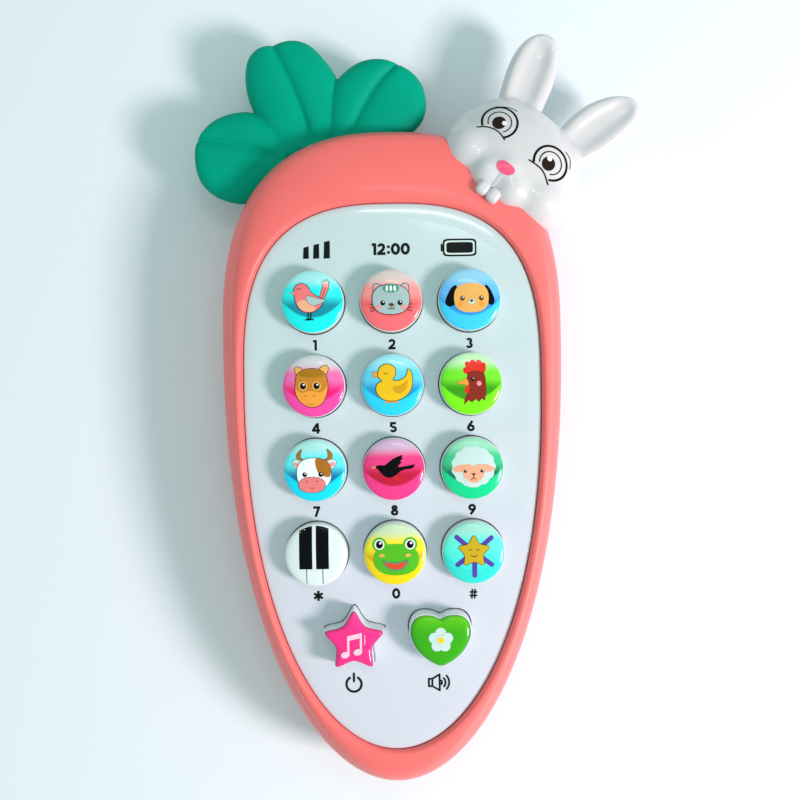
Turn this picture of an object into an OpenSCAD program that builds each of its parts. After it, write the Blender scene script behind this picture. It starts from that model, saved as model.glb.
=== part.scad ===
// Toy cell phone shaped like a carrot, with a soft leaf teether and a rabbit head.
// Frame: X to the right of the front face, Y up the face, Z out of the front face.
// z = 0 is the flat back that it lies on, x = 0 the long axis, y = 0 the middle of the case.
// Every length is in millimetres.

/* [Case] */
// Half width of the case at its widest line
case_w = 40.9; // [35:0.1:50]
// Y of the widest line of the case
case_yc = 28; // [20:1:36]
// From the widest line to the top of the case
case_top = 50; // [40:1:60]
// From the widest line to the tip of the case
case_bot = 105.9; // [90:0.1:120]
// Height of the parting plane between the two shells
z_part = 12.5; // [11:0.5:14]
// Underside of the deck that the keys come through
z_deck0 = 20.4; // [19:0.1:21]
// Seat of the face panel on the deck
z_deck1 = 22.4; // [21:0.1:23]
// Crest of the bezel round the panel
z_ridge = 25; // [24:0.1:26]

/* [Panel] */
// Half width of the face panel
panel_w = 34.6; // [30:0.1:38]
// Y of the panel's widest line
panel_yc = 16.9; // [12:0.1:22]
// From the panel's widest line to its top
panel_top = 42.3; // [38:0.1:46]
// From the panel's widest line to its tip
panel_bot = 84.6; // [78:0.1:90]
// Top surface of the panel
panel_z = 24; // [23:0.1:25]
// Gap between the panel and the bezel
panel_gap = 0.15; // [0.1:0.05:0.4]

/* [Keys] */
// X of the key columns
key_x = [-18, 0, 18];
// Y of the key rows
key_y = [36.2, 16.9, -2.4, -21.7];
// Radius of a round key
key_r = 7.2; // [6.5:0.1:8]
// Gap round every key
key_hole = 0.2; // [0.2:0.05:0.5]
// Radius of the flange that holds a round key in
flange_r = 8.3; // [8:0.1:8.8]
// Underside of the flanges
z_flange0 = 19.1; // [19:0.1:19.4]
// Top of the flanges
z_flange1 = 20.3; // [20:0.1:20.3]
// Rim of a round key
z_cap = 27.5; // [26:0.1:29]
// Centre of the star key
star_c = [-9.6, -41.3];
// Centre of the heart key
heart_c = [10.1, -41.2];

/* [Board and rubber] */
// Underside of the circuit board
z_board0 = 15.0; // [14.6:0.1:15.4]
// Top of the circuit board
z_board1 = 16.2; // [16:0.1:16.6]
// Top of the rubber mat between its domes
z_sheet = 17.0; // [16.8:0.1:17.4]
// Top of the rubber domes
z_dome = 19.0; // [18.6:0.1:19]

/* [Batteries] */
// Radius of a cell
cell_r = 5.25; // [5.0:0.05:5.3]
// Length of a cell
cell_len = 44.5; // [43.3:0.1:44.5]
// Distance of each cell from the long axis
cell_x = 5.7; // [5.4:0.1:6]
// Height of the cells' axes
cell_z = 7.7; // [7.4:0.1:8]
// Inside of the battery bay: low X, high X, low Y, high Y
bay = [-11.4, 11.4, -40.5, 10.5];
// Outline of the battery door: low X, high X, low Y, high Y
door = [-14.4, 14.4, -49, 19];

/* [Rabbit] */
// Point midway between the rabbit's eyes
bunny_at = [31.5, 72.4];
// Lean of the rabbit's head, in degrees
bunny_turn = -38; // [-50:1:-20]
/* [Hidden] */
N = 72;                 // points round an outline
$fn = 48;

// ---------- outlines ----------
function spow(v, k) = sign(v) * pow(abs(v), k);
function outline(w, yc, ht, hb, pt, qt, pb, qb, n = N) =
  [for (i = [0:n-1]) let (a = 360*i/n, c = cos(a), s = sin(a))
    s >= -1e-9 ? [w*spow(c, 2/qt), yc + ht*spow(max(s, 0), 2/pt)]
               : [w*spow(c, 2/qb), yc + hb*spow(s, 2/pb)]];
function inset(p, d) = let (n = len(p))
  [for (i = [0:n-1]) let (t = p[(i+1)%n] - p[(i+n-1)%n], l = norm(t)) p[i] + [-t[1], t[0]]/l*d];
function blend(a, b, f) = [for (i = [0:len(a)-1]) a[i]*(1-f) + b[i]*f];
function body_o(d = 0, n = N) = inset(outline(case_w, case_yc, case_top, case_bot, 2.7, 2.5, 2.2, 2.0, n), d);
function panel_o(d = 0, n = N) = inset(outline(panel_w, panel_yc, panel_top, panel_bot, 3, 2.7, 2.2, 2.0, n), d);
function chaikin(p, k, f = 0.25) = k == 0 ? p : let (n = len(p))
  chaikin([for (i = [0:n-1]) each [p[i]*(1-f) + p[(i+1)%n]*f, p[i]*f + p[(i+1)%n]*(1-f)]], k-1);
function star_o(d = 0) = let (s = 1 + d/6.6)
  chaikin(chaikin([for (i = [0:9]) let (a = 90 + 36*i, r = (i%2 == 0 ? 8.0 : 4.2)*s) [r*cos(a), r*sin(a)]], 1, 0.16), 1);
heart_half = [[0, 4.85], [1.25, 5.6], [2.85, 5.95], [4.75, 5.85], [6.2, 5], [7.05, 3.45], [7.25, 1.45], [6.55, -0.7], [5.25, -2.85],
  [3.1, -4.75], [0.95, -5.95]];
function heart_o(d = 0) = let (s = 1 + d/6.3)
  chaikin(concat([for (i = [0:10]) [-heart_half[i][0]*s, heart_half[i][1]*s]], [[0, -6.15*s]],
    [for (i = [10:-1:1]) [heart_half[i][0]*s, heart_half[i][1]*s]]), 1);

// closed loft through rings [outline, z], first cap facing down, last cap facing up
module loft(rings) {
  n = len(rings[0][0]); m = len(rings);
  pts = [for (r = rings) for (q = r[0]) [q[0], q[1], r[1]]];
  sides = [for (i = [0:m-2]) for (j = [0:n-1]) let (k = (j+1)%n)
    each [[i*n+j, (i+1)*n+j, (i+1)*n+k], [i*n+j, (i+1)*n+k, i*n+k]]];
  polyhedron(pts, concat([[for (j = [0:n-1]) j]], sides, [[for (j = [0:n-1]) (m-1)*n + n-1-j]]), convexity = 6);
}
// the same for outlines with notches: each cap is a fan of triangles round the middle
module notched_loft(rings) {
  n = len(rings[0][0]); m = len(rings);
  pts = concat([for (r = rings) for (q = r[0]) [q[0], q[1], r[1]]], [[0, 0, rings[0][1]], [0, 0, rings[m-1][1]]]);
  sides = [for (i = [0:m-2]) for (j = [0:n-1]) let (k = (j+1)%n)
    each [[i*n+j, (i+1)*n+j, (i+1)*n+k], [i*n+j, (i+1)*n+k, i*n+k]]];
  polyhedron(pts, concat(sides, [for (j = [0:n-1]) let (k = (j+1)%n) each [[j, k, m*n], [(m-1)*n+k, (m-1)*n+j, m*n+1]]]), convexity = 6);
}
module rod(pts, r, k = 6) {       // swept wire along a list of 3D points
  n = len(pts);
  function dir(i) = let (a = pts[max(i-1, 0)], b = pts[min(i+1, n-1)]) (b-a)/norm(b-a);
  function side(t) = let (u = abs(t[2]) < 0.8 ? cross(t, [0, 0, 1]) : cross(t, [0, 1, 0])) u/norm(u);
  v = [for (i = [0:n-1]) let (t = dir(i), u = side(t), w = cross(u, t))
    for (j = [0:k-1]) pts[i] + r*(cos(360*j/k)*u + sin(360*j/k)*w)];
  polyhedron(v, concat([[for (j = [0:k-1]) k-1-j]],
    [for (i = [0:n-2]) for (j = [0:k-1]) let (q = (j+1)%k) each [[i*k+j, i*k+q, (i+1)*k+q], [i*k+j, (i+1)*k+q, (i+1)*k+j]]],
    [[for (j = [0:k-1]) (n-1)*k + j]]));
}

// ---------- case ----------
function front_outer(d = 0, n = N) = let (c = panel_o(-panel_gap - 1.3 - d, n), b = body_o(3.2 - d, n)) [
  [body_o(-d, n), z_part], [body_o(0.1 - d, n), 15], [body_o(0.6 - d, n), 18], [body_o(1.7 - d, n), 20.7 + d*0.5],
  [b, 22.7 + d*0.8], [blend(b, c, 0.3), 23.9 + d], [blend(b, c, 0.65), 24.7 + d], [c, z_ridge + d]];
function back_outer(d = 0, n = N) = [[body_o(10 - d, n), -d], [body_o(8.2 - d, n), 0.3 - d], [body_o(5.5 - d, n), 1.4 - d],
  [body_o(3 - d, n), 3.4 - d], [body_o(1.2 - d, n), 6.2 - d*0.5], [body_o(0.3 - d, n), 10.6]];
module case_solid(d, n = N) { loft(concat(back_outer(d, n), front_outer(d, n))); }

case_screw_at = [[33.3, 44], [-33.3, 44], [13.3, -60.5], [-13.3, -60.5]];
board_screw_at = [[29.6, 26.5], [-29.6, 26.5], [28.6, -12.1], [-28.6, -12.1]];
bunny_screw_local = [[-4.6, -12.5], [4.6, -12.5]];
door_screw_at = [[0, -45.2], [0, 15.2]];
speaker_at = [0, 47];

module in_bunny() { translate([bunny_at[0], bunny_at[1], 0]) rotate(bunny_turn) children(); }
module leaf_slot(g) { translate([-16.2, 70.5, 0]) rotate(17) translate([-8.5 - g, -9 - g, 10.4 - g]) cube([17 + 2*g, 22, 4.4 + 2*g]); }
module bunny_slot(g) { in_bunny() translate([-8 - g, -16 - g, 10.2 - g]) cube([16 + 2*g, 18, 4.8 + 2*g]); }
leaf_pins = [[-18.6, 68.3], [-10.2, 70.7]];

module round_holes(g) { for (x = key_x) for (y = key_y) translate([x, y, 0]) cylinder(r = key_r + g, h = 40); }
module shape_holes(g) {
  translate([star_c[0], star_c[1], 0]) linear_extrude(40) polygon(star_o(g));
  translate([heart_c[0], heart_c[1], 0]) linear_extrude(40) polygon(heart_o(g));
}

module front_shell() color("#fd7d7c") {
  c = panel_o(-panel_gap);
  difference() {
    union() {
      loft(concat([[body_o(4.6), z_deck0], [body_o(2.9), 18], [body_o(2.2), 15], [body_o(2.0), z_part]],
        front_outer(), [[panel_o(-panel_gap - 0.5), 24.7], [c, 24.1], [c, z_deck1]]));
      for (p = case_screw_at) translate([p[0], p[1], z_part]) cylinder(r = 3, h = 8.5);
      for (p = board_screw_at) translate([p[0], p[1], z_board1]) cylinder(r = 2.4, h = 4.6);
      in_bunny() for (p = bunny_screw_local) translate([p[0], p[1], 15.2]) cylinder(r = 2.2, h = 5.6);
    }
    translate([0, 0, 10]) round_holes(key_hole);
    translate([0, 0, 10]) shape_holes(key_hole);
    for (p = case_screw_at) translate([p[0], p[1], z_part - 1]) cylinder(r = 1.25, h = 7.5);
    for (p = board_screw_at) translate([p[0], p[1], z_board1 - 1]) cylinder(r = 1.05, h = 4.6);
    in_bunny() for (p = bunny_screw_local) translate([p[0], p[1], 14]) cylinder(r = 1.05, h = 5.2);
    leaf_slot(0.2);
    bunny_slot(0.2);
  }
}

module face_panel() color("#dbe4e9") {
  difference() {
    union() {
      translate([0, 0, z_deck1]) linear_extrude(1.2) polygon(panel_o(0));
      loft([[panel_o(0), z_deck1 + 1.2], [panel_o(0.4), panel_z]]);
    }
    translate([0, 0, 10]) round_holes(key_hole);
    translate([0, 0, 10]) shape_holes(key_hole);
  }
}

module back_shell() color("#fd7d7c") {
  difference() {
    union() {
      loft(concat(back_outer(), [[body_o(0), z_part], [body_o(2.2), z_part], [body_o(2.2), 13.8], [body_o(3.2), 13.8],
        [body_o(3.2), 11], [body_o(2.3), 9.6], [body_o(3.2), 6.4], [body_o(4.8), 4.2], [body_o(7.2), 2.5], [body_o(9.5), 2]]));
      intersection() {
        union() {
          for (p = case_screw_at) translate([p[0], p[1], 0]) cylinder(r = 4.4, h = 9.5);
          for (p = leaf_pins) translate([p[0], p[1], 0]) cylinder(r = 2.6, h = 10.2);
        }
        loft(back_outer(-0.5));
      }
      for (p = case_screw_at) translate([p[0], p[1], 6]) cylinder(r = 3, h = z_part - 6);
      translate([-16, -51, 0.5]) cube([32, 72, 3.3]);
      translate([bay[0] - 1.2, bay[2] - 1.2, 1]) cube([bay[1] - bay[0] + 2.4, bay[3] - bay[2] + 2.4, 13.2]);
      for (p = door_screw_at) translate([p[0], p[1], 1]) cylinder(r = 2.8, h = 8.5);
      translate([speaker_at[0], speaker_at[1], 1.5]) cylinder(r = 15.6, h = 4);
      for (p = leaf_pins) translate([p[0], p[1], 6]) cylinder(r = 1.4, h = 8.4);
    }
    translate([door[0] - 0.15, door[2] - 0.15, -1]) cube([door[1] - door[0] + 0.3, door[3] - door[2] + 0.3, 3.05]);
    translate([bay[0], bay[2], -1]) cube([bay[1] - bay[0], bay[3] - bay[2], 14]);
    for (p = case_screw_at) translate([p[0], p[1], -1]) cylinder(r = 1.5, h = 20);
    for (p = case_screw_at) translate([p[0], p[1], -1]) cylinder(r = 2.7, h = 8);
    for (p = door_screw_at) translate([p[0], p[1], -1]) cylinder(r = 1.25, h = 9.5);
    translate([speaker_at[0], speaker_at[1], 2]) cylinder(r = 14.3, h = 9);
    translate([speaker_at[0], speaker_at[1], -1]) {
      cylinder(r = 1, h = 6);
      for (a = [0:60:300]) rotate(a) translate([4, 0, 0]) cylinder(r = 1, h = 6);
      for (a = [15:30:345]) rotate(a) translate([8, 0, 0]) cylinder(r = 1, h = 6);
    }
    translate([bay[0] - 3, 8, 11.6]) cube([4, 1.4, 1.6]);
    translate([bay[1] - 1, 8, 11.6]) cube([4, 1.4, 1.6]);
    difference() {
      leaf_slot(0.2);
      for (p = leaf_pins) translate([p[0], p[1], 1]) cylinder(r = 1.4, h = 13.4);
    }
    bunny_slot(0.2);
  }
}

// ---------- leaf and rabbit ----------
module egg(p, r, k = 28) { translate(p) scale(r) sphere(r = 1, $fn = k); }
// each row of a leaf lobe: one edge, the vein and the other edge
lobe_left = [[[-27, 64.5], [-25, 71], [-24.5, 77]], [[-31, 62.5], [-30, 73.7], [-30, 82]], [[-35.4, 61.9], [-34.5, 75.3], [-33.4, 84.1]],
  [[-38.9, 62.3], [-38.3, 76.1], [-36.4, 84.2]], [[-42.4, 63.7], [-41.3, 76.5], [-39.3, 83.6]], [[-45.3, 66.1], [-43.4, 76.8], [-42, 82.4]],
  [[-46.8, 69], [-44.8, 77], [-43.9, 80.8]], [[-47.3, 72.2], [-45.7, 77.1], [-45.2, 79]], [[-47.2, 74.6], [-46.2, 77], [-46, 77.6]],
  [[-46.9, 75.6], [-46.6, 76.2], [-46.5, 76.6]]];
lobe_mid = [[[-27.5, 74], [-18.5, 74.5], [-12.5, 75]], [[-30, 78.6], [-19.6, 79.2], [-12.6, 80]], [[-32.2, 82.6], [-21.2, 84.3], [-12.3, 85.6]],
  [[-34, 86.8], [-22.9, 88.6], [-12, 90.2]], [[-34.8, 90.7], [-24.5, 92.3], [-13.2, 93.6]], [[-34.8, 94], [-25.9, 95.3], [-15.4, 96.7]],
  [[-34.1, 96.9], [-26.9, 97.5], [-18, 99.5]], [[-32.3, 98.9], [-27.5, 98.9], [-20.4, 100.9]], [[-30.2, 99.6], [-27.8, 99.6], [-23.2, 101.3]],
  [[-28.4, 99.9], [-27.9, 100], [-26.4, 100.7]]];
lobe_right = [[[-15, 75.5], [-9.8, 75.5], [0, 74.5]], [[-15.3, 80.2], [-8.7, 79.6], [3.5, 77.6]], [[-15, 85.6], [-7, 83.2], [6.6, 79.5]],
  [[-13.9, 90], [-5, 86.7], [8.4, 81.8]], [[-11.9, 92.3], [-3.1, 89.5], [9.2, 84.6]], [[-9.6, 94.4], [-1.3, 91.6], [9.1, 87.4]],
  [[-6.9, 95.9], [0.3, 93], [8.3, 90.1]], [[-3.9, 96.5], [1.5, 94], [6.8, 92.2]], [[-1, 96.3], [2.3, 94.6], [5.1, 93.5]],
  [[1.6, 95.4], [2.7, 94.9], [3.6, 94.4]]];
lobe_thick = [1, 1, 1, 1, 1, 1, 0.97, 0.88, 0.66, 0.3];
lobe_dip = [0, 1, 1, 1, 1, 1, 1, 1, 1, 0];
// each row of an ear: left edge and right edge, from the point between the eyes
ear_left = [[[-10.5, 4], [-2.5, 6]], [[-12.7, 9], [-1.9, 11.2]], [[-14.1, 12.6], [-2.4, 14]], [[-15.3, 16.3], [-3.3, 17.8]],
  [[-15.9, 20.2], [-4.7, 21.2]], [[-15.5, 23.3], [-6.4, 24.1]], [[-14.4, 25.4], [-8, 26.1]], [[-13.1, 26.6], [-9.2, 27.1]], [[-12, 27.2], [-10.3, 27.5]]];
ear_right = [[[4, 6.5], [13.5, 3.5]], [[4.1, 10.8], [14.9, 8.6]], [[4.4, 15], [16.6, 12.6]], [[5.7, 19.5], [17.7, 17]],
  [[8.1, 23.4], [18.2, 20.8]], [[9.8, 25.1], [17.9, 24]], [[11.6, 26.3], [17.1, 25.7]], [[13, 27], [16.1, 26.8]], [[14.3, 27.3], [15.3, 27.3]]];
ear_thick = [1, 1, 1, 1, 1, 0.97, 0.85, 0.6, 0.28];
ear_dip = [0, 0.75, 1, 1, 1, 0.75, 0.1, 0, 0];
head_plan = [[18.2, -5.5], [18, -3.4], [17.1, -0.2], [15.8, 2.7], [13.6, 6], [10.6, 8.6], [7.2, 10.1], [4.1, 10.8], [1.2, 11.1], [-1.8, 11.1],
  [-5.5, 10.5], [-9.2, 9.4], [-12, 7.8], [-14.2, 5], [-16.1, 1.8], [-17.2, -1.6], [-17.6, -4.8], [-17.3, -7.5], [-16.2, -10.8], [-13.4, -14],
  [-9, -16.4], [-3, -17.4], [3, -17.6], [9, -16.6], [13.4, -14.4], [16.4, -11.2], [17.8, -8.4]];
head_mid = [0.3, -5];

// puffed form through rows of edge, middle, edge; dip is the crease or dish on its front, along its share at each row,
// width its share of the half width
module puffed(rows, thick, along, zc, up, down, dip, width, soft) {
  side = [1, 0.95, 0.8, 0.55, 0.3, 0.12];
  top = concat([for (s = side) -s], [0], [for (i = [5:-1:0]) side[i]]);
  bottom = concat([for (i = [1:5]) side[i]], [0], [for (i = [5:-1:1]) -side[i]]);
  function at(q, s) = s < 0 ? q[1] + (q[0] - q[1])*-s : q[1] + (q[2] - q[1])*s;
  function arch(s) = pow(max(1 - pow(abs(s), 3.2), 0), 1/2.2);
  n = 24; m = len(rows);
  v = [for (i = [0:m-1]) each concat(
    [for (s = top) let (p = at(rows[i], s)) [p[0], p[1], zc + thick[i]*(up*arch(s) - dip*along[i]*exp(-pow(abs(s)/width, soft)))]],
    [for (s = bottom) let (p = at(rows[i], s)) [p[0], p[1], zc - thick[i]*down*arch(s)]])];
  polyhedron(v, concat([[for (j = [0:n-1]) j]],
    [for (i = [0:m-2]) for (j = [0:n-1]) let (k = (j+1)%n) each [[i*n+j, (i+1)*n+j, (i+1)*n+k], [i*n+j, (i+1)*n+k, i*n+k]]],
    [[for (j = [0:n-1]) (m-1)*n + n-1-j]]), convexity = 6);
}
module leaf_teether() color("#01a082") {
  difference() {
    union() {
      difference() {
        union() {
          for (rows = [lobe_left, lobe_mid, lobe_right]) puffed(rows, lobe_thick, lobe_dip, 12.4, 4.1, 3.7, 1.3, 0.16, 1.3);
          for (p = [[-29, 71.5], [-27, 76], [-24.5, 73], [-20, 76], [-23, 78.5], [-18, 80], [-14, 81], [-10, 80.5], [-5, 79], [0, 79]])
            hull() egg([p[0], p[1], 12.4], [4, 4, 3.2]);
        }
        case_solid(0.2, 40);
      }
      leaf_slot(0);
    }
    for (p = leaf_pins) translate([p[0], p[1], 0]) cylinder(r = 1.7, h = 30, $fn = 24);
  }
}

module head(t) {   // t = wall thickness taken off all round
  p = inset(head_plan, t);
  hull() for (a = [-80:16:80]) translate([0, 0, 14 + (12 - t)*sin(a)])
    linear_extrude(0.05) polygon([for (q = p) head_mid + (q - head_mid)*pow(cos(a), 0.85)]);
}
module ears() {
  for (rows = [ear_left, ear_right])
    puffed([for (q = rows) [q[0], (q[0] + q[1])/2, q[1]]], ear_thick, ear_dip, 13.6, 4.2, 4.2, 2.3, 0.55, 3);
  hull() egg([-7, 6.5, 13.8], [5, 4, 5.4]);
  hull() egg([9, 6, 13.8], [4.8, 4, 5.4]);
}
module cheeks() {
  hull() egg([-9.2, -8.2, 17], [7.8, 7, 8.5]);
  hull() egg([10.4, -7.8, 17], [7.6, 7.2, 8.6]);
}
module muzzle() {
  hull() egg([-2.9, -10.2, 20], [4.7, 5, 7.2]);
  hull() egg([3.9, -10.2, 20], [4.9, 5.1, 7.2]);
  hull() egg([0.2, -8.4, 20], [4.6, 4, 7.6]);
}
module bunny_solid() {
  in_bunny() {
    head(0);
    ears();
    cheeks();
    muzzle();
  }
}
module bunny_hollow() {
  difference() {
    in_bunny() { head(2.2); hull() egg([0, -8, 20], [5, 3, 4]); }
    case_solid(2.4, 40);
  }
}
module bunny_face() color("#e8e8ea") {
  difference() {
    union() {
      difference() {
        intersection() {
          bunny_solid();
          translate([-50, 0, z_part]) cube([200, 200, 40]);
        }
        bunny_hollow();
        case_solid(0.2, 40);
      }
      in_bunny() translate([-8, -16, z_part]) cube([16, 12, 2.5]);
      difference() {
        in_bunny() for (p = [[-1.45, -14.4], [1.6, -14.5]]) hull() { egg([p[0], p[1], 25.7], [1.5, 1.7, 1.3]); egg([p[0], p[1] + 2.2, 24.8], [1.5, 1.4, 1.6]); }
        case_solid(0.2, 40);
      }
    }
    in_bunny() for (p = bunny_screw_local) translate([p[0], p[1], 0]) cylinder(r = 1.4, h = 20, $fn = 24);
  }
}
module bunny_back() color("#e8e8ea") {
  difference() {
    union() {
      difference() {
        intersection() {
          bunny_solid();
          translate([-50, 0, 0]) cube([200, 200, z_part]);
        }
        bunny_hollow();
        case_solid(0.2, 40);
      }
      in_bunny() translate([-8, -16, 10.2]) cube([16, 12, 2.3]);
    }
    in_bunny() for (p = bunny_screw_local) translate([p[0], p[1], 0]) cylinder(r = 1.4, h = 20, $fn = 24);
  }
}

// ---------- keys ----------
label_tint = ["#35f0f0", "#fa8786", "#4cc8f2", "#f74aa8", "#3ce0fa", "#7bee20", "#4df0ff", "#f53c84", "#14a880", "#e9eeee", "#f7df36", "#5ff0da",
  "#ff2882", "#4db400"];
function key_pos(k) = k < 9 ? [key_x[k%3], key_y[floor(k/3)]] : [key_x[k-9], key_y[3]];
module round_cap(k) color("#f2f4f4") {
  translate([key_pos(k)[0], key_pos(k)[1], 0]) rotate_extrude() polygon([
    [0, z_flange0], [2.2, z_flange0], [2.2, 25], [6.1, 25], [6.1, z_flange0], [flange_r, z_flange0], [flange_r, z_flange1],
    [key_r, z_flange1], [key_r, 27.2], [7.15, 27.4], [7.05, z_cap], [6.55, z_cap], [6.55, 26.9], [0, 26.9]]);
}
module round_label(k) color(label_tint[k]) {
  translate([key_pos(k)[0], key_pos(k)[1], 0]) rotate_extrude() polygon(concat([[0, 26.9], [6.45, 26.9], [6.45, z_cap]],
    [for (i = [0:8]) let (a = 90*i/8) [7.05*cos(a), z_cap + 1.15*sin(a)]]));
}
// a prismatic key that follows outline f(d); s picks star (0) or heart (1)
function shape_o(s, d) = s == 0 ? star_o(d) : heart_o(d);
function shape_c(s) = s == 0 ? star_c : heart_c;
module shape_cap(s) color("#f2f4f4") {
  translate([shape_c(s)[0], shape_c(s)[1], 0]) difference() {
    union() {
      translate([0, 0, z_flange0]) linear_extrude(z_flange1 - z_flange0) polygon(shape_o(s, 1));
      translate([0, 0, z_flange0]) linear_extrude(29 - z_flange0) polygon(shape_o(s, 0));
    }
    difference() {
      translate([0, 0, z_flange0 - 1]) linear_extrude(7.5) polygon(shape_o(s, -1.6));
      cylinder(r = 2.2, h = 40);
    }
    translate([0, 0, 28.4]) linear_extrude(2) polygon(shape_o(s, -0.35));
  }
}
module shape_label(s) color(label_tint[12 + s]) {
  translate([shape_c(s)[0], shape_c(s)[1], 0])
    notched_loft([for (q = [[-0.45, 28.4], [-0.45, 29.1], [-0.75, 29.5], [-1.6, 29.8], [-3.2, 30]]) [shape_o(s, q[0]), q[1]]]);
}

// ---------- board and rubber keypad ----------
key_all = concat([for (k = [0:11]) key_pos(k)], [star_c, heart_c]);
module board_plan(d, y0, y1) {
  intersection() {
    polygon(panel_o(d));
    translate([-60, y0]) square([120, y1 - y0]);
  }
}
module keypad_membrane() color("#c4c4bc") {
  difference() {
    union() {
      translate([0, 0, z_board1]) linear_extrude(z_sheet - z_board1) board_plan(2.6, -52, 47);
      for (p = key_all) translate([p[0], p[1], z_sheet - 0.2]) cylinder(r1 = 5, r2 = 3.6, h = z_dome - z_sheet + 0.2);
    }
    for (p = key_all) translate([p[0], p[1], z_board1 - 1]) cylinder(r = 4.3, h = 1.8);
    for (p = key_all) translate([p[0], p[1], z_sheet - 0.01]) cylinder(r1 = 4.3, r2 = 3, h = 1.21);
    for (p = board_screw_at) translate([p[0], p[1], 10]) cylinder(r = 2.7, h = 10);
  }
}
module carbon_pills() color("#1a1a1a") { for (p = key_all) translate([p[0], p[1], 17.5]) cylinder(r = 2, h = 0.7); }
module contact_pads() color("#d9b45a") { for (p = key_all) translate([p[0], p[1], z_board1]) cylinder(r = 3, h = 0.05); }
module main_board() color("#14602e") {
  difference() {
    translate([0, 0, z_board0]) linear_extrude(z_board1 - z_board0) board_plan(2, -54, 49);
    for (p = board_screw_at) translate([p[0], p[1], 10]) cylinder(r = 1.2, h = 10);
  }
}
module sound_chip() color("#111111") {
  translate([0, 24, 0]) rotate_extrude() polygon([[0, 13.2], [2.5, 13.4], [4, 14], [5, z_board0], [0, z_board0]]);
}

// ---------- speaker ----------
module speaker_frame() color("#9a9a9a") {
  translate([speaker_at[0], speaker_at[1], 0]) rotate_extrude() polygon([[14, 2], [14, 3.6], [11.5, 4.2], [8.2, 6.4],
    [0, 6.4], [0, 5.8], [7.6, 5.8], [11, 3.6], [12, 3], [12, 2]]);
}
module speaker_magnet() color("#2a2a2a") { translate([speaker_at[0], speaker_at[1], 6.4]) cylinder(r = 6.5, h = 2.6); }
module speaker_cone() color("#1c1c1c") {
  translate([speaker_at[0], speaker_at[1], 0]) rotate_extrude() polygon([[0, 3.2], [2.5, 3.4], [3.4, 4.6], [6, 4.3], [10, 2.9],
    [11, 2.6], [11.9, 2.8], [11.9, 2.95], [11, 2.8], [10.1, 3.1], [6.1, 4.5], [3.3, 4.8], [2.3, 3.6], [0, 3.4]]);
}

// ---------- batteries ----------
module battery(x, s) color("#26364f") {
  // s = 1 puts the cap end towards +Y
  y0 = s > 0 ? bay[2] + 5 : bay[3] - 5;
  translate([x, y0, cell_z]) rotate([s > 0 ? -90 : 90, 0, 0]) rotate_extrude() polygon([[0, 0], [4.4, 0], [cell_r - 0.3, 0.3], [cell_r, 0.6],
    [cell_r, cell_len - 1.7], [cell_r - 0.5, cell_len - 1.2], [2, cell_len - 1.2], [1.9, cell_len - 0.2], [1.7, cell_len], [0, cell_len]]);
}
module spring_at(x, y, s) {
  n = 54;
  rod([for (i = [0:n]) let (a = 360*4.5*i/n, r = 4 - 1.6*i/n) [x + r*cos(a), y + s*(0.2 + 4*i/n), cell_z + r*sin(a)]], 0.3, 5);
}
module battery_springs() color("#c9c9c9") {
  spring_at(-cell_x, bay[2] + 0.4, 1);
  spring_at(cell_x, bay[3] - 0.4, -1);
  // one plate carries each spring
  translate([-cell_x - 4.6, bay[2] + 0.02, 3.2]) cube([9.2, 0.4, 9]);
  translate([cell_x - 4.6, bay[3] - 0.42, 3.2]) cube([9.2, 0.4, 9]);
}
module battery_contacts() color("#c9c9c9") {
  translate([-cell_x - 4.6, bay[3] - 0.42, 3.2]) cube([9.2, 0.4, 9]);
  translate([cell_x - 4.6, bay[2] + 0.02, 3.2]) cube([9.2, 0.4, 9]);
}
module battery_door() color("#fd7d7c") {
  difference() {
    translate([door[0], door[2], 0.3]) cube([door[1] - door[0], door[3] - door[2], 1.6]);
    for (p = door_screw_at) translate([p[0], p[1], -1]) {
      cylinder(r = 1.35, h = 5);
      cylinder(r = 2.5, h = 2.38);
    }
    for (i = [-3:3]) translate([-7, -26 + i*1.8 + 11, -0.5]) cube([14, 0.8, 1.2]);
  }
}
module screw(p, z0, len, hr, r, hh = 1) color("#8f8f92") {     // head down at z0, shank towards +Z
  translate([p[0], p[1], z0]) difference() {
    union() { cylinder(r = hr, h = hh); cylinder(r = r, h = len); }
    for (a = [0, 90]) rotate(a) translate([-hr*0.6, -0.25, -1]) cube([hr*1.2, 0.5, 1.5]);
  }
}
module battery_wires() color("#a01414") {
  rod([[-cell_x - 4.9, 8.7, 12.4], [-13.4, 8.7, 12.4], [-15.5, 9.5, 12.8], [-17, 12, 13.6], [-17.2, 15, 14.4], [-17.2, 16, 14.5]], 0.5);
  rod([[cell_x + 4.9, 8.7, 12.4], [13.4, 8.7, 12.4], [15.5, 9.5, 12.8], [17, 12, 13.6], [17.2, 15, 14.4], [17.2, 16, 14.5]], 0.5);
}
module speaker_wires() color("#a01414") {
  rod([[-9.5, 40, 6.2], [-10.5, 38, 7.6], [-11, 35, 10], [-10, 33, 12.6], [-9, 32, 14.7]], 0.45);
  rod([[9.5, 40, 6.2], [10.5, 38, 7.6], [11, 35, 10], [10, 33, 12.6], [9, 32, 14.7]], 0.45);
}

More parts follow.
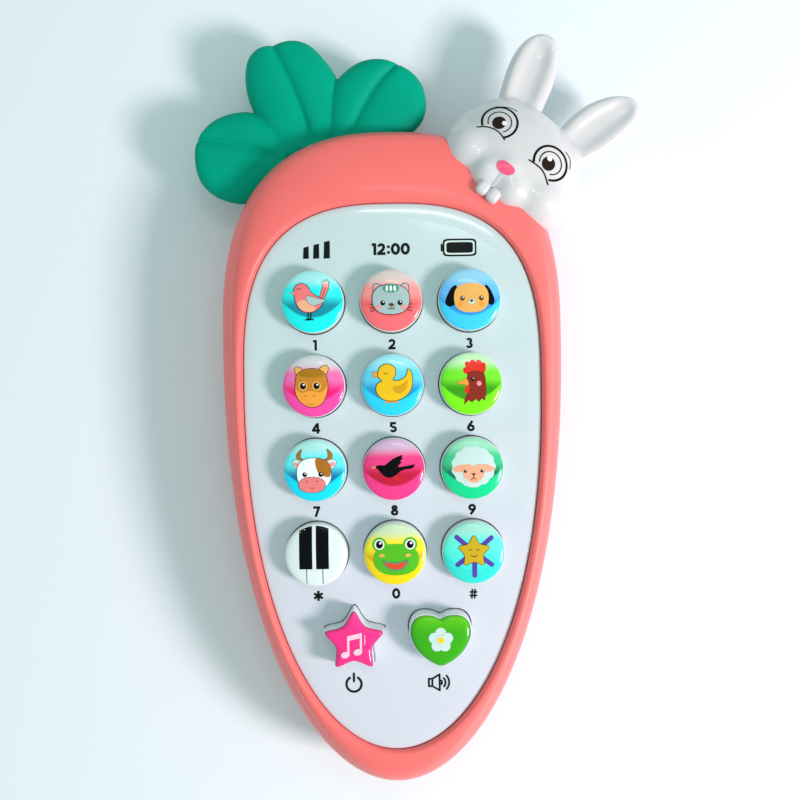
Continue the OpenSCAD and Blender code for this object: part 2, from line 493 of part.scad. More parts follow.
front_shell();
back_shell();
face_panel();
leaf_teether();
bunny_face();
bunny_back();
round_cap(0);  // key_1
round_cap(1);  // key_2
round_cap(2);  // key_3
round_cap(3);  // key_4
round_cap(4);  // key_5
round_cap(5);  // key_6
round_cap(6);  // key_7
round_cap(7);  // key_8
round_cap(8);  // key_9
round_cap(9);  // key_asterisk
round_cap(10);  // key_0
round_cap(11);  // key_hash
shape_cap(0);  // star_key
shape_cap(1);  // heart_key
round_label(0);  // key_1_label
round_label(1);  // key_2_label
round_label(2);  // key_3_label
round_label(3);  // key_4_label
round_label(4);  // key_5_label
round_label(5);  // key_6_label
round_label(6);  // key_7_label
round_label(7);  // key_8_label
round_label(8);  // key_9_label
round_label(9);  // key_asterisk_label
round_label(10);  // key_0_label
round_label(11);  // key_hash_label
shape_label(0);  // star_key_label
shape_label(1);  // heart_key_label
keypad_membrane();
carbon_pills();
main_board();
contact_pads();
sound_chip();
speaker_frame();
speaker_magnet();
speaker_cone();
battery_door();
for (p = door_screw_at) screw(p, 0.45, 7.55, 2.3, 1.2, 0.9);  // door_screws
battery(-cell_x, 1);  // battery_1
battery(cell_x, -1);  // battery_2
battery_springs();
battery_contacts();
battery_wires();
speaker_wires();
for (p = case_screw_at) screw(p, 5.4, 12.6, 2.4, 1.2, 1.6);  // case_screws
for (p = board_screw_at) screw(p, 13.9, 5.6, 2, 1, 1.1);  // board_screws
in_bunny() for (p = bunny_screw_local) screw(p, 9.2, 9.4, 2.1, 1, 1);  // bunny_screws
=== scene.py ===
"""Looks of the carrot-shaped toy cell phone.

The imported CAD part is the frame. This script adds the smooth shells, the printed
panel, the domed key labels with their pictures, the soft leaves, the rabbit head and
the back's fittings, and sets the floor, the lamps and the camera.
"""
from __future__ import annotations

import logging
import math
from dataclasses import dataclass, field
from enum import Enum
from typing import Callable, Iterable, Sequence

import bmesh
import bpy
from mathutils import Matrix, Vector
from mathutils.bvhtree import BVHTree

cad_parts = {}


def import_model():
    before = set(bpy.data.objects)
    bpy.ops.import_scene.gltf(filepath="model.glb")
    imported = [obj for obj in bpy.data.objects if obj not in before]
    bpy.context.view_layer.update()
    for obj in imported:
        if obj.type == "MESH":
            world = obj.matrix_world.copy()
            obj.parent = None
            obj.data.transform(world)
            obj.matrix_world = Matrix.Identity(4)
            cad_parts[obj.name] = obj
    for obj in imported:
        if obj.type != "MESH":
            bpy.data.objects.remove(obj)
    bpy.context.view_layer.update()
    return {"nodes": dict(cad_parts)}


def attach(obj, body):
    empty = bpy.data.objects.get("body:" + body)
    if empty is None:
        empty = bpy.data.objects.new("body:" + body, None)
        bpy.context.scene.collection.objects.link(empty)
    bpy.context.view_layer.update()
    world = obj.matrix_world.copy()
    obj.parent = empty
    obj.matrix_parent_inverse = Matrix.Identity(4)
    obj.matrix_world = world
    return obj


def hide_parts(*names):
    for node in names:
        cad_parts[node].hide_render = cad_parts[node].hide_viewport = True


LOG = logging.getLogger("toy_phone")
MM = 0.001
Spot = tuple[float, float]
Colour = tuple[float, float, float]
Ring = list[Vector]


def shade(red: int, green: int, blue: int) -> Colour:
    """Turn a colour of 0 to 255 a channel into linear light.

    Args:
        red: Red as seen.
        green: Green as seen.
        blue: Blue as seen.

    Returns:
        The colour for a shader socket.
    """

    def linear(value: int) -> float:
        """Undo the display curve of one channel."""
        part = value / 255
        return part / 12.92 if part <= 0.04045 else ((part + 0.055) / 1.055) ** 2.4

    return (linear(red), linear(green), linear(blue))


# ---------------------------------------------------------------- drawing helpers


def signed_power(value: float, power: float) -> float:
    """Raise the size of a value to a power and keep its sign."""
    return math.copysign(abs(value) ** power, value)


def smooth_loop(spots: Sequence[Spot], steps: int = 5) -> list[Spot]:
    """Run a closed smooth curve through a few points.

    Args:
        spots: The corner points, in order.
        steps: New points for each stretch.

    Returns:
        The points of the curve.
    """
    count = len(spots)
    curve: list[Spot] = []
    for index in range(count):
        before, start = spots[index - 1], spots[index]
        end, after = spots[(index + 1) % count], spots[(index + 2) % count]
        for step in range(steps):
            t = step / steps
            curve.append(tuple(catmull(before[k], start[k], end[k], after[k], t) for k in (0, 1)))
    return curve


def open_curve(spots: Sequence[Spot], steps: int = 5) -> list[Spot]:
    """Run an open smooth curve through a few points."""
    last = len(spots) - 1
    curve = [
        tuple(
            catmull(spots[max(i - 1, 0)][k], spots[i][k], spots[i + 1][k], spots[min(i + 2, last)][k], step / steps)
            for k in (0, 1)
        )
        for i in range(last)
        for step in range(steps)
    ]
    return curve + [spots[-1]]


def catmull(before: float, start: float, end: float, after: float, t: float) -> float:
    """Blend four values along a smooth curve from start to end."""
    return 0.5 * (
        2 * start
        + (end - before) * t
        + (2 * before - 5 * start + 4 * end - after) * t * t
        + (3 * start - before - 3 * end + after) * t * t * t
    )


def oval(centre: Spot, half_x: float, half_y: float, turn: float = 0, count: int = 28) -> list[Spot]:
    """Points round an ellipse.

    Args:
        centre: Middle of the ellipse.
        half_x: Half its width.
        half_y: Half its height.
        turn: Its turn in degrees, anticlockwise.
        count: Number of points.

    Returns:
        The points, anticlockwise.
    """
    cosine, sine = math.cos(math.radians(turn)), math.sin(math.radians(turn))
    spots = []
    for index in range(count):
        angle = 2 * math.pi * index / count
        x, y = half_x * math.cos(angle), half_y * math.sin(angle)
        spots.append((centre[0] + x * cosine - y * sine, centre[1] + x * sine + y * cosine))
    return spots


def pillow(centre: Spot, half_x: float, half_y: float, power: float = 2.6, count: int = 40) -> list[Spot]:
    """Points round a soft rounded box.

    Args:
        centre: Middle of the shape.
        half_x: Half its width.
        half_y: Half its height.
        power: How square it is; 2 is an ellipse.
        count: Number of points.

    Returns:
        The points, anticlockwise.
    """
    spots = []
    for index in range(count):
        angle = 2 * math.pi * (index + 0.5) / count
        spots.append(
            (
                centre[0] + half_x * signed_power(math.cos(angle), 2 / power),
                centre[1] + half_y * signed_power(math.sin(angle), 2 / power),
            )
        )
    return spots


def arc(centre: Spot, radius: float, start: float, end: float, count: int = 16) -> list[Spot]:
    """Points along an arc, from the start angle to the end angle in degrees."""
    return [
        (
            centre[0] + radius * math.cos(math.radians(start + (end - start) * index / (count - 1))),
            centre[1] + radius * math.sin(math.radians(start + (end - start) * index / (count - 1))),
        )
        for index in range(count)
    ]


def band(path: Sequence[Spot], width: float, round_ends: bool = False) -> list[Spot]:
    """Turn an open path into the outline of a stroke.

    Args:
        path: The points that the stroke follows.
        width: Width of the stroke.
        round_ends: Whether its ends are round.

    Returns:
        The closed outline.
    """
    left: list[Spot] = []
    right: list[Spot] = []
    last = len(path) - 1
    for index, spot in enumerate(path):
        a, b = path[max(index - 1, 0)], path[min(index + 1, last)]
        dx, dy = b[0] - a[0], b[1] - a[1]
        length = math.hypot(dx, dy) or 1
        reach = width / 2
        if 0 < index < last:
            ux, uy = spot[0] - a[0], spot[1] - a[1]
            cosine = abs((ux * dx + uy * dy) / (math.hypot(ux, uy) * length or 1))
            reach /= max(cosine, 0.5)
        nx, ny = -dy / length * reach, dx / length * reach
        left.append((spot[0] + nx, spot[1] + ny))
        right.append((spot[0] - nx, spot[1] - ny))
    if not round_ends:
        return right + left[::-1]

    def cap(centre: Spot, edge: Spot) -> list[Spot]:
        """Half a circle that goes on from the stroke's edge."""
        begin = math.degrees(math.atan2(edge[1] - centre[1], edge[0] - centre[0]))
        return arc(centre, width / 2, begin, begin + 180, 9)[1:-1]

    return right + cap(path[-1], right[-1]) + left[::-1] + cap(path[0], left[0])


def spread(spots: Sequence[Spot], distance: float) -> list[Spot]:
    """Move a closed outline outwards.

    Args:
        spots: The outline, anticlockwise or clockwise.
        distance: How far it moves.

    Returns:
        The wider outline.
    """
    count = len(spots)
    area = sum(spots[i - 1][0] * spots[i][1] - spots[i][0] * spots[i - 1][1] for i in range(count))
    side = 1 if area > 0 else -1
    moved = []
    for index, spot in enumerate(spots):
        a, b = spots[index - 1], spots[(index + 1) % count]
        dx, dy = b[0] - a[0], b[1] - a[1]
        length = math.hypot(dx, dy) or 1
        moved.append((spot[0] + side * dy / length * distance, spot[1] - side * dx / length * distance))
    return moved


def round_corners(spots: Sequence[Spot], passes: int, share: float = 0.25) -> list[Spot]:
    """Cut the corners of a closed outline off again and again until it is round.

    Args:
        spots: The corners.
        passes: How often they are cut.
        share: How much of each side a cut takes.

    Returns:
        The rounded outline.
    """
    outline = list(spots)
    for _ in range(passes):
        cut = []
        for index, spot in enumerate(outline):
            following = outline[(index + 1) % len(outline)]
            for part in (share, 1 - share):
                cut.append(tuple(spot[k] + (following[k] - spot[k]) * part for k in (0, 1)))
        outline = cut
    return outline


# ---------------------------------------------------------------- workbench


class Bench:
    """The modelling tools that every class below shares."""

    @staticmethod
    def clear() -> None:
        """Leave edit mode and let go of everything."""
        if bpy.context.object and bpy.context.object.mode != "OBJECT":
            bpy.ops.object.mode_set(mode="OBJECT")
        bpy.ops.object.select_all(action="DESELECT")

    @staticmethod
    def pick(*objects: bpy.types.Object) -> None:
        """Select these objects only and make the first one active."""
        Bench.clear()
        for obj in objects:
            obj.select_set(True)
        bpy.context.view_layer.objects.active = objects[0]

    @staticmethod
    def settle(obj: bpy.types.Object) -> None:
        """Put an object's place, turn and size into its mesh."""
        Bench.pick(obj)
        bpy.ops.object.transform_apply(location=True, rotation=True, scale=True)

    @staticmethod
    def join(name: str, objects: Sequence[bpy.types.Object]) -> bpy.types.Object:
        """Join several pieces into one.

        Args:
            name: Name of the joined piece.
            objects: The pieces.

        Returns:
            The joined piece.
        """
        Bench.pick(*objects)
        if len(objects) > 1:
            bpy.ops.object.join()
        joined = bpy.context.object
        joined.name = name
        joined.data.name = name
        return joined

    @staticmethod
    def loft(
        name: str,
        rings: Sequence[Ring],
        first_cap: bool = True,
        last_cap: bool = True,
        endless: bool = False,
    ) -> bpy.types.Object:
        """Extrude a ring from outline to outline.

        Args:
            name: Name of the piece.
            rings: Outlines with the same number of points each.
            first_cap: Whether the first outline is filled.
            last_cap: Whether the last outline is filled.
            endless: Whether the last outline is bridged to the first.

        Returns:
            The closed piece, with its faces outwards.
        """
        Bench.clear()
        count = len(rings[0])
        bpy.ops.mesh.primitive_circle_add(vertices=count, radius=MM, fill_type="NOTHING")
        obj = bpy.context.object
        bpy.ops.object.mode_set(mode="EDIT")
        mesh = bmesh.from_edit_mesh(obj.data)
        previous = list(mesh.verts)
        for vert, spot in zip(previous, rings[0]):
            vert.co = spot
        for ring in rings[1:]:
            bpy.ops.mesh.extrude_edges_move()
            mesh = bmesh.from_edit_mesh(obj.data)
            mesh.verts.ensure_lookup_table()
            places = {tuple(mesh.verts[vert].co): order for order, vert in enumerate(Bench.indices(previous))}
            fresh = sorted((v for v in mesh.verts if v.select), key=lambda v: places[tuple(v.co)])
            for vert, spot in zip(fresh, ring):
                vert.co = spot
            previous = fresh
        bmesh.update_edit_mesh(obj.data)
        if last_cap and not endless:
            bpy.ops.mesh.edge_face_add()
        if endless or first_cap:
            if not endless:
                bpy.ops.mesh.select_all(action="DESELECT")
            mesh = bmesh.from_edit_mesh(obj.data)
            mesh.verts.ensure_lookup_table()
            for index in range(count):
                mesh.verts[index].select_set(True)
            mesh.select_flush(True)
            bmesh.update_edit_mesh(obj.data)
            if endless:
                bpy.ops.mesh.bridge_edge_loops()
            else:
                bpy.ops.mesh.edge_face_add()
        Bench.face_out()
        bpy.ops.object.mode_set(mode="OBJECT")
        obj.name = name
        return obj

    @staticmethod
    def indices(verts: Iterable[bmesh.types.BMVert]) -> list[int]:
        """The numbers of some vertices."""
        return [vert.index for vert in verts]

    @staticmethod
    def face_out() -> None:
        """In edit mode, turn every face of a closed shape outwards."""
        bpy.ops.mesh.select_all(action="SELECT")
        bpy.ops.mesh.normals_make_consistent(inside=False)

    @staticmethod
    def smooth(obj: bpy.types.Object, angle: float = 30) -> bpy.types.Object:
        """Shade a piece smooth, but for edges sharper than an angle in degrees."""
        Bench.pick(obj)
        bpy.ops.object.shade_smooth_by_angle(angle=math.radians(angle))
        return obj

    @staticmethod
    def modify(obj: bpy.types.Object, kind: str, **settings: object) -> None:
        """Add a modifier with its settings and apply it."""
        modifier = obj.modifiers.new(kind.title(), kind)
        for key, value in settings.items():
            setattr(modifier, key, value)
        Bench.pick(obj)
        bpy.ops.object.modifier_apply(modifier=modifier.name)

    @staticmethod
    def carve(obj: bpy.types.Object, tools: Sequence[bpy.types.Object], operation: str = "DIFFERENCE") -> None:
        """Cut tools out of a piece, or add them to it, and throw the tools away."""
        for tool in tools:
            Bench.modify(obj, "BOOLEAN", object=tool, operation=operation, solver="EXACT")
            bpy.data.objects.remove(tool, do_unlink=True)

    @staticmethod
    def rod(at: Sequence[float], radius: float, low: float, high: float, sides: int = 32) -> bpy.types.Object:
        """A round rod along Z, in millimetres.

        Args:
            at: X and Y of its axis.
            radius: Its radius.
            low: Its lower end.
            high: Its upper end.
            sides: Number of sides.

        Returns:
            The rod.
        """
        Bench.clear()
        bpy.ops.mesh.primitive_cylinder_add(
            vertices=sides,
            radius=radius * MM,
            depth=(high - low) * MM,
            location=(at[0] * MM, at[1] * MM, (low + high) / 2 * MM),
        )
        rod = bpy.context.object
        Bench.settle(rod)
        return rod

    @staticmethod
    def block(low: Sequence[float], high: Sequence[float], bevel: float = 0) -> bpy.types.Object:
        """A block between two corners, in millimetres.

        Args:
            low: The low corner.
            high: The high corner.
            bevel: Width of the rounding on its edges.

        Returns:
            The block.
        """
        Bench.clear()
        bpy.ops.mesh.primitive_cube_add(size=1, location=[(a + b) / 2 * MM for a, b in zip(low, high)])
        block = bpy.context.object
        block.scale = [(b - a) * MM for a, b in zip(low, high)]
        Bench.settle(block)
        if bevel:
            bpy.ops.object.mode_set(mode="EDIT")
            bpy.ops.mesh.select_all(action="SELECT")
            bpy.ops.mesh.bevel(offset=bevel * MM, segments=3)
            bpy.ops.object.mode_set(mode="OBJECT")
        return block

    @staticmethod
    def egg(centre: Sequence[float], half: Sequence[float], turn: float = 0) -> bpy.types.Object:
        """An egg-shaped lump in millimetres, turned about Z by an angle in degrees."""
        Bench.clear()
        bpy.ops.mesh.primitive_uv_sphere_add(
            segments=40, ring_count=24, radius=MM, location=[c * MM for c in centre]
        )
        lump = bpy.context.object
        lump.scale = half
        lump.rotation_euler = (0, 0, math.radians(turn))
        Bench.settle(lump)
        return lump

    @staticmethod
    def plate(
        name: str, loops: Sequence[Sequence[Spot]], low: float, high: float, bevel: float
    ) -> bpy.types.Object:
        """A flat plate with holes and rounded edges.

        Args:
            name: Name of the plate.
            loops: The outline and then the holes, in millimetres.
            low: Its underside.
            high: Its top.
            bevel: Radius of its edges.

        Returns:
            The plate.
        """
        Bench.clear()
        curve = bpy.data.curves.new(name, "CURVE")
        curve.dimensions = "2D"
        curve.fill_mode = "BOTH"
        curve.extrude = (high - low) / 2 * MM - bevel * MM
        curve.bevel_depth = bevel * MM
        curve.bevel_resolution = 2
        curve.offset = -bevel * MM
        for loop in loops:
            spline = curve.splines.new("POLY")
            spline.points.add(len(loop) - 1)
            spline.use_cyclic_u = True
            for point, spot in zip(spline.points, loop):
                point.co = (spot[0] * MM, spot[1] * MM, 0, 1)
        plate = bpy.data.objects.new(name, curve)
        bpy.context.scene.collection.objects.link(plate)
        Bench.pick(plate)
        bpy.ops.object.convert(target="MESH")
        plate = bpy.context.object
        plate.location.z = (low + high) / 2 * MM
        Bench.settle(plate)
        bpy.ops.object.mode_set(mode="EDIT")
        bpy.ops.mesh.select_all(action="SELECT")
        bpy.ops.mesh.remove_doubles(threshold=0.002 * MM)
        Bench.face_out()
        bpy.ops.object.mode_set(mode="OBJECT")
        return plate

    @staticmethod
    def dress(obj: bpy.types.Object, *materials: bpy.types.Material) -> bpy.types.Object:
        """Give a piece its materials."""
        obj.data.materials.clear()
        for material in materials:
            obj.data.materials.append(material)
        return obj

    @staticmethod
    def hand_over(
        obj: bpy.types.Object, body: str, slot: str, nodes: Sequence[str] = ()
    ) -> bpy.types.Object:
        """Fix a finished piece to the frame.

        Args:
            obj: The piece.
            body: The body that it rides on.
            slot: The record's material slot; not used.
            nodes: The CAD nodes that it stands for.

        Returns:
            The piece.
        """
        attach(obj, body)
        if nodes:
            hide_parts(*nodes)
        LOG.info("%s rides on %s, %d faces", obj.name, body, len(obj.data.polygons))
        return obj


# ---------------------------------------------------------------- finishes


@dataclass(frozen=True)
class Finish:
    """A moulded, printed or metal surface."""

    name: str
    tint: Colour
    roughness: float = 0.35
    metallic: float = 0.0
    coat: float = 0.0
    mottle: float = 0.03
    grain: float = 0.004
    grain_size: float = 0.25
    subsurface: float = 0.0
    specular: float = 0.5
    coat_roughness: float = 0.06

    def make(self) -> bpy.types.Material:
        """Build the material.

        Returns:
            The material, made once for each name.
        """
        label = f"{self.name}_finish"
        found = bpy.data.materials.get(label)
        if found:
            return found
        material = bpy.data.materials.new(label)
        material.use_nodes = True
        tree = material.node_tree
        shader = tree.nodes["Principled BSDF"]
        shader.inputs["Roughness"].default_value = self.roughness
        shader.inputs["Metallic"].default_value = self.metallic
        shader.inputs["Specular IOR Level"].default_value = self.specular
        shader.inputs["Coat Weight"].default_value = self.coat
        shader.inputs["Coat Roughness"].default_value = self.coat_roughness
        if self.subsurface:
            shader.inputs["Subsurface Weight"].default_value = self.subsurface
            shader.inputs["Subsurface Radius"].default_value = (1.0, 0.6, 0.5)
            shader.inputs["Subsurface Scale"].default_value = 1.2 * MM
        self.colour(tree, shader)
        self.relief(tree, shader)
        return material

    def place(self, tree: bpy.types.NodeTree) -> bpy.types.NodeSocket:
        """Object coordinates for the pattern."""
        return tree.nodes.new("ShaderNodeTexCoord").outputs["Object"]

    def colour(self, tree: bpy.types.NodeTree, shader: bpy.types.Node) -> None:
        """Mottle the colour a little, as moulded material is."""
        noise = tree.nodes.new("ShaderNodeTexNoise")
        noise.inputs["Scale"].default_value = 1 / (14 * MM)
        noise.inputs["Detail"].default_value = 3
        ramp = tree.nodes.new("ShaderNodeValToRGB")
        low = [max(c * (1 - self.mottle), 0) for c in self.tint]
        high = [min(c * (1 + self.mottle), 1) for c in self.tint]
        ramp.color_ramp.elements[0].color = (*low, 1)
        ramp.color_ramp.elements[0].position = 0.3
        ramp.color_ramp.elements[1].color = (*high, 1)
        ramp.color_ramp.elements[1].position = 0.7
        tree.links.new(self.place(tree), noise.inputs["Vector"])
        tree.links.new(noise.outputs["Fac"], ramp.inputs["Fac"])
        tree.links.new(ramp.outputs["Color"], shader.inputs["Base Color"])

    def relief(self, tree: bpy.types.NodeTree, shader: bpy.types.Node) -> None:
        """Give the surface its fine grain."""
        noise = tree.nodes.new("ShaderNodeTexNoise")
        noise.inputs["Scale"].default_value = 1 / (self.grain_size * MM)
        noise.inputs["Detail"].default_value = 2
        bump = tree.nodes.new("ShaderNodeBump")
        bump.inputs["Strength"].default_value = 0.5
        bump.inputs["Distance"].default_value = self.grain * MM
        tree.links.new(self.place(tree), noise.inputs["Vector"])
        tree.links.new(noise.outputs["Fac"], bump.inputs["Height"])
        tree.links.new(bump.outputs["Normal"], shader.inputs["Normal"])


@dataclass(frozen=True)
class RunningColour(Finish):
    """A finish whose colour runs along Y from one tint to another."""

    other: Colour = (1, 1, 1)
    start: float = 0
    end: float = 1

    def colour(self, tree: bpy.types.NodeTree, shader: bpy.types.Node) -> None:
        """Run the colour from the start line to the end line, both in millimetres."""
        split = tree.nodes.new("ShaderNodeSeparateXYZ")
        reach = tree.nodes.new("ShaderNodeMapRange")
        reach.inputs["From Min"].default_value = self.start * MM
        reach.inputs["From Max"].default_value = self.end * MM
        reach.interpolation_type = "SMOOTHSTEP"
        mix = tree.nodes.new("ShaderNodeMix")
        mix.data_type = "RGBA"
        mix.inputs[6].default_value = (*self.tint, 1)
        mix.inputs[7].default_value = (*self.other, 1)
        tree.links.new(self.place(tree), split.inputs["Vector"])
        tree.links.new(split.outputs["Y"], reach.inputs["Value"])
        tree.links.new(reach.outputs["Result"], mix.inputs[0])
        tree.links.new(mix.outputs[2], shader.inputs["Base Color"])


@dataclass(frozen=True)
class LabelGroundWithPaintedReflection(Finish):
    """The printed ground of a round label, with a painted reflection in its dome: pale above, a deep smile-shaped band,
    bright below.
    """

    centre: Spot = (0, 0)
    radius: float = 7.05
    pale: Colour = (1, 1, 1)
    deep: Colour = (0, 0, 0)
    bright: Colour = (1, 1, 1)

    def colour(self, tree: bpy.types.NodeTree, shader: bpy.types.Node) -> None:
        """Paint the reflection: shade the label from pale to deep, and leave it bright under a smile-shaped line."""
        mapping = tree.nodes.new("ShaderNodeMapping")
        mapping.inputs["Location"].default_value = (-self.centre[0] / self.radius, -self.centre[1] / self.radius, 0)
        size = 1 / (self.radius * MM)
        mapping.inputs["Scale"].default_value = (size, size, size)
        split = tree.nodes.new("ShaderNodeSeparateXYZ")
        tree.links.new(self.place(tree), mapping.inputs["Vector"])
        tree.links.new(mapping.outputs["Vector"], split.inputs["Vector"])
        mix = tree.nodes.new("ShaderNodeMix")
        mix.data_type = "RGBA"
        mix.inputs[6].default_value = (*self.bright, 1)
        tree.links.new(self.over_line(tree, split), mix.inputs[0])
        tree.links.new(self.fade(tree, split), mix.inputs[7])
        tree.links.new(mix.outputs[2], shader.inputs["Base Color"])

    def over_line(self, tree: bpy.types.NodeTree, split: bpy.types.Node) -> bpy.types.NodeSocket:
        """1 over the smile-shaped line of the painted reflection and 0 under it."""
        square = tree.nodes.new("ShaderNodeMath")
        square.operation = "MULTIPLY"
        smile = tree.nodes.new("ShaderNodeMath")
        smile.operation = "MULTIPLY_ADD"
        smile.inputs[1].default_value = -0.56
        edge = tree.nodes.new("ShaderNodeMapRange")
        edge.inputs["From Min"].default_value = -0.57
        edge.inputs["From Max"].default_value = -0.5
        for slot in (0, 1):
            tree.links.new(split.outputs["X"], square.inputs[slot])
        tree.links.new(square.outputs[0], smile.inputs[0])
        tree.links.new(split.outputs["Y"], smile.inputs[2])
        tree.links.new(smile.outputs[0], edge.inputs["Value"])
        return edge.outputs["Result"]

    def fade(self, tree: bpy.types.NodeTree, split: bpy.types.Node) -> bpy.types.NodeSocket:
        """The painted reflection's colours from the deep bowl up to the pale top."""
        height = tree.nodes.new("ShaderNodeMapRange")
        height.inputs["From Min"].default_value = -1
        height.inputs["From Max"].default_value = 1
        ramp = tree.nodes.new("ShaderNodeValToRGB")
        ramp.color_ramp.interpolation = "EASE"
        first, last = ramp.color_ramp.elements
        first.position, first.color = 0.4, (*self.deep, 1)
        last.position, last.color = 0.88, (*self.pale, 1)
        for position in (0.62, 0.68):
            ramp.color_ramp.elements.new(position).color = (*self.tint, 1)
        tree.links.new(split.outputs["Y"], height.inputs["Value"])
        tree.links.new(height.outputs["Result"], ramp.inputs["Fac"])
        return ramp.outputs["Color"]


CORAL = Finish("coral_plastic", shade(255, 114, 112), 0.4, coat=0.06, mottle=0.02, specular=0.4)
PANEL = RunningColour(
    "panel_plastic", shade(213, 214, 227), 0.16, coat=0.4, grain=0.0002, grain_size=1.5, other=shade(200, 217, 221), start=-40, end=45
)
LEAF = Finish("leaf_rubber", shade(0, 158, 130), 0.5, mottle=0.06, grain=0.005, grain_size=0.4, specular=0.04)
RABBIT = Finish("rabbit_plastic", shade(216, 211, 215), 0.24, coat=0.35, mottle=0.012, grain=0.0006, grain_size=1.2, coat_roughness=0.1)
KEY_WHITE = Finish("key_plastic", shade(222, 230, 230), 0.2, coat=0.4, mottle=0.01, grain=0.001, grain_size=0.8)


class Ink(Enum):
    """The printing colours of the pictures and of the panel."""

    BLACK = shade(6, 5, 8)
    SIGN = shade(14, 19, 18)
    WHITE = shade(246, 248, 248)
    SNOW = shade(206, 228, 226)
    CORAL_PINK = shade(248, 122, 122)
    PINK = shade(250, 150, 150)
    SALMON = shade(240, 128, 128)
    NOTE_PINK = shade(251, 206, 224)
    MAGENTA = shade(228, 60, 110)
    GREY_BLUE = shade(168, 192, 194)
    WING_GREY = shade(170, 200, 196)
    STRIPE_GREEN = shade(60, 150, 128)
    TAN = shade(240, 178, 92)
    ORANGE = shade(248, 160, 60)
    AMBER = shade(206, 130, 34)
    BROWN = shade(176, 108, 28)
    DARK_BROWN = shade(96, 56, 34)
    CHESTNUT = shade(140, 38, 22)
    RED = shade(236, 40, 22)
    YELLOW = shade(252, 208, 26)
    GOLD = shade(244, 194, 16)
    WING_GOLD = shade(218, 160, 8)
    OCHRE = shade(170, 116, 8)
    MUSTARD = shade(208, 172, 22)
    PURPLE = shade(88, 62, 172)
    FROG = shade(84, 186, 24)
    PEACH = shade(246, 176, 140)
    MOUTH = shade(228, 72, 36)
    NOSE = shade(250, 88, 130)
    PUPIL = shade(40, 26, 20)

    def material(self) -> bpy.types.Material:
        """The glossy ink of this colour."""
        dark = self in (Ink.BLACK, Ink.SIGN, Ink.PUPIL)
        return Finish(
            f"ink_{self.name.lower()}", self.value, 0.24, coat=0.0 if dark else 0.25, grain=0.0001,
            grain_size=1.5, specular=0.12 if dark else 0.22, coat_roughness=0.12,
        ).make()


# ---------------------------------------------------------------- prints and pictures


@dataclass
class Print:
    """Flat shapes in layers, laid over a surface as printing."""

    name: str
    centre: Spot = (0.0, 0.0)
    turn: float = 0.0
    cell: float = 1.2
    step: float = 0.012
    shapes: list[tuple[list[Spot], Ink]] = field(default_factory=list)

    def add(self, spots: Sequence[Spot], ink: Ink, line: float = 0.0, line_ink: Ink = Ink.BLACK) -> "Print":
        """Add a filled shape.

        Args:
            spots: Its outline in millimetres, from the print's centre.
            ink: Its colour.
            line: Width of the contour line round it.
            line_ink: Colour of the contour.

        Returns:
            The print itself.
        """
        if line:
            self.shapes.append((spread(spots, line), line_ink))
        self.shapes.append((list(spots), ink))
        return self

    def eye(self, at: Spot, size: float, ink: Ink = Ink.BLACK) -> "Print":
        """Add a round eye with its light spot."""
        self.add(oval(at, size, size * 1.1, count=20), ink)
        return self.add(oval((at[0] + size * 0.25, at[1] + size * 0.4), size * 0.34, size * 0.34, count=12), Ink.WHITE)

    def build(self, surface: Callable[[float, float], float]) -> bpy.types.Object:
        """Make the print's mesh on a surface.

        Args:
            surface: Gives the height at a place, all in metres.

        Returns:
            The print as one piece.
        """
        inks = list(dict.fromkeys(ink for _, ink in self.shapes))
        cosine, sine = math.cos(math.radians(self.turn)), math.sin(math.radians(self.turn))
        parts = []
        for layer, (spots, ink) in enumerate(self.shapes, 1):
            moved = [
                (
                    self.centre[0] + x * cosine - y * sine,
                    self.centre[1] + x * sine + y * cosine,
                )
                for x, y in spots
            ]
            part = self.flat_shape(moved)
            lift = layer * self.step * MM
            for vert in part.data.vertices:
                vert.co.z = surface(vert.co.x, vert.co.y) + lift
            Bench.dress(part, *(i.material() for i in inks))
            for face in part.data.polygons:
                face.material_index = inks.index(ink)
                face.use_smooth = True
            parts.append(part)
        return Bench.join(self.name, parts)

    def flat_shape(self, spots: Sequence[Spot]) -> bpy.types.Object:
        """Fill an outline and cut it into small cells, so that it can follow a curved surface."""
        Bench.clear()
        bpy.ops.mesh.primitive_circle_add(vertices=len(spots), radius=MM, fill_type="NGON")
        shape = bpy.context.object
        area = sum(
            spots[i - 1][0] * spots[i][1] - spots[i][0] * spots[i - 1][1] for i in range(len(spots))
        )
        ordered = spots if area > 0 else spots[::-1]
        for vert, spot in zip(shape.data.vertices, ordered):
            vert.co = (spot[0] * MM, spot[1] * MM, 0)
        bpy.ops.object.mode_set(mode="EDIT")
        bpy.ops.mesh.quads_convert_to_tris(ngon_method="BEAUTY")
        for axis in (0, 1):
            low = min(spot[axis] for spot in spots)
            high = max(spot[axis] for spot in spots)
            cuts = int((high - low) / self.cell)
            normal = (1, 0, 0) if axis == 0 else (0, 1, 0)
            for index in range(1, cuts + 1):
                bpy.ops.mesh.select_all(action="SELECT")
                at = [0.0, 0.0, 0.0]
                at[axis] = (low + (high - low) * index / (cuts + 1)) * MM
                bpy.ops.mesh.bisect(plane_co=at, plane_no=normal)
        bpy.ops.mesh.select_all(action="SELECT")
        bpy.ops.mesh.normals_make_consistent(inside=False)
        bpy.ops.object.mode_set(mode="OBJECT")
        if shape.data.polygons and shape.data.polygons[0].normal.z < 0:
            bpy.ops.object.mode_set(mode="EDIT")
            bpy.ops.mesh.flip_normals()
            bpy.ops.object.mode_set(mode="OBJECT")
        return shape


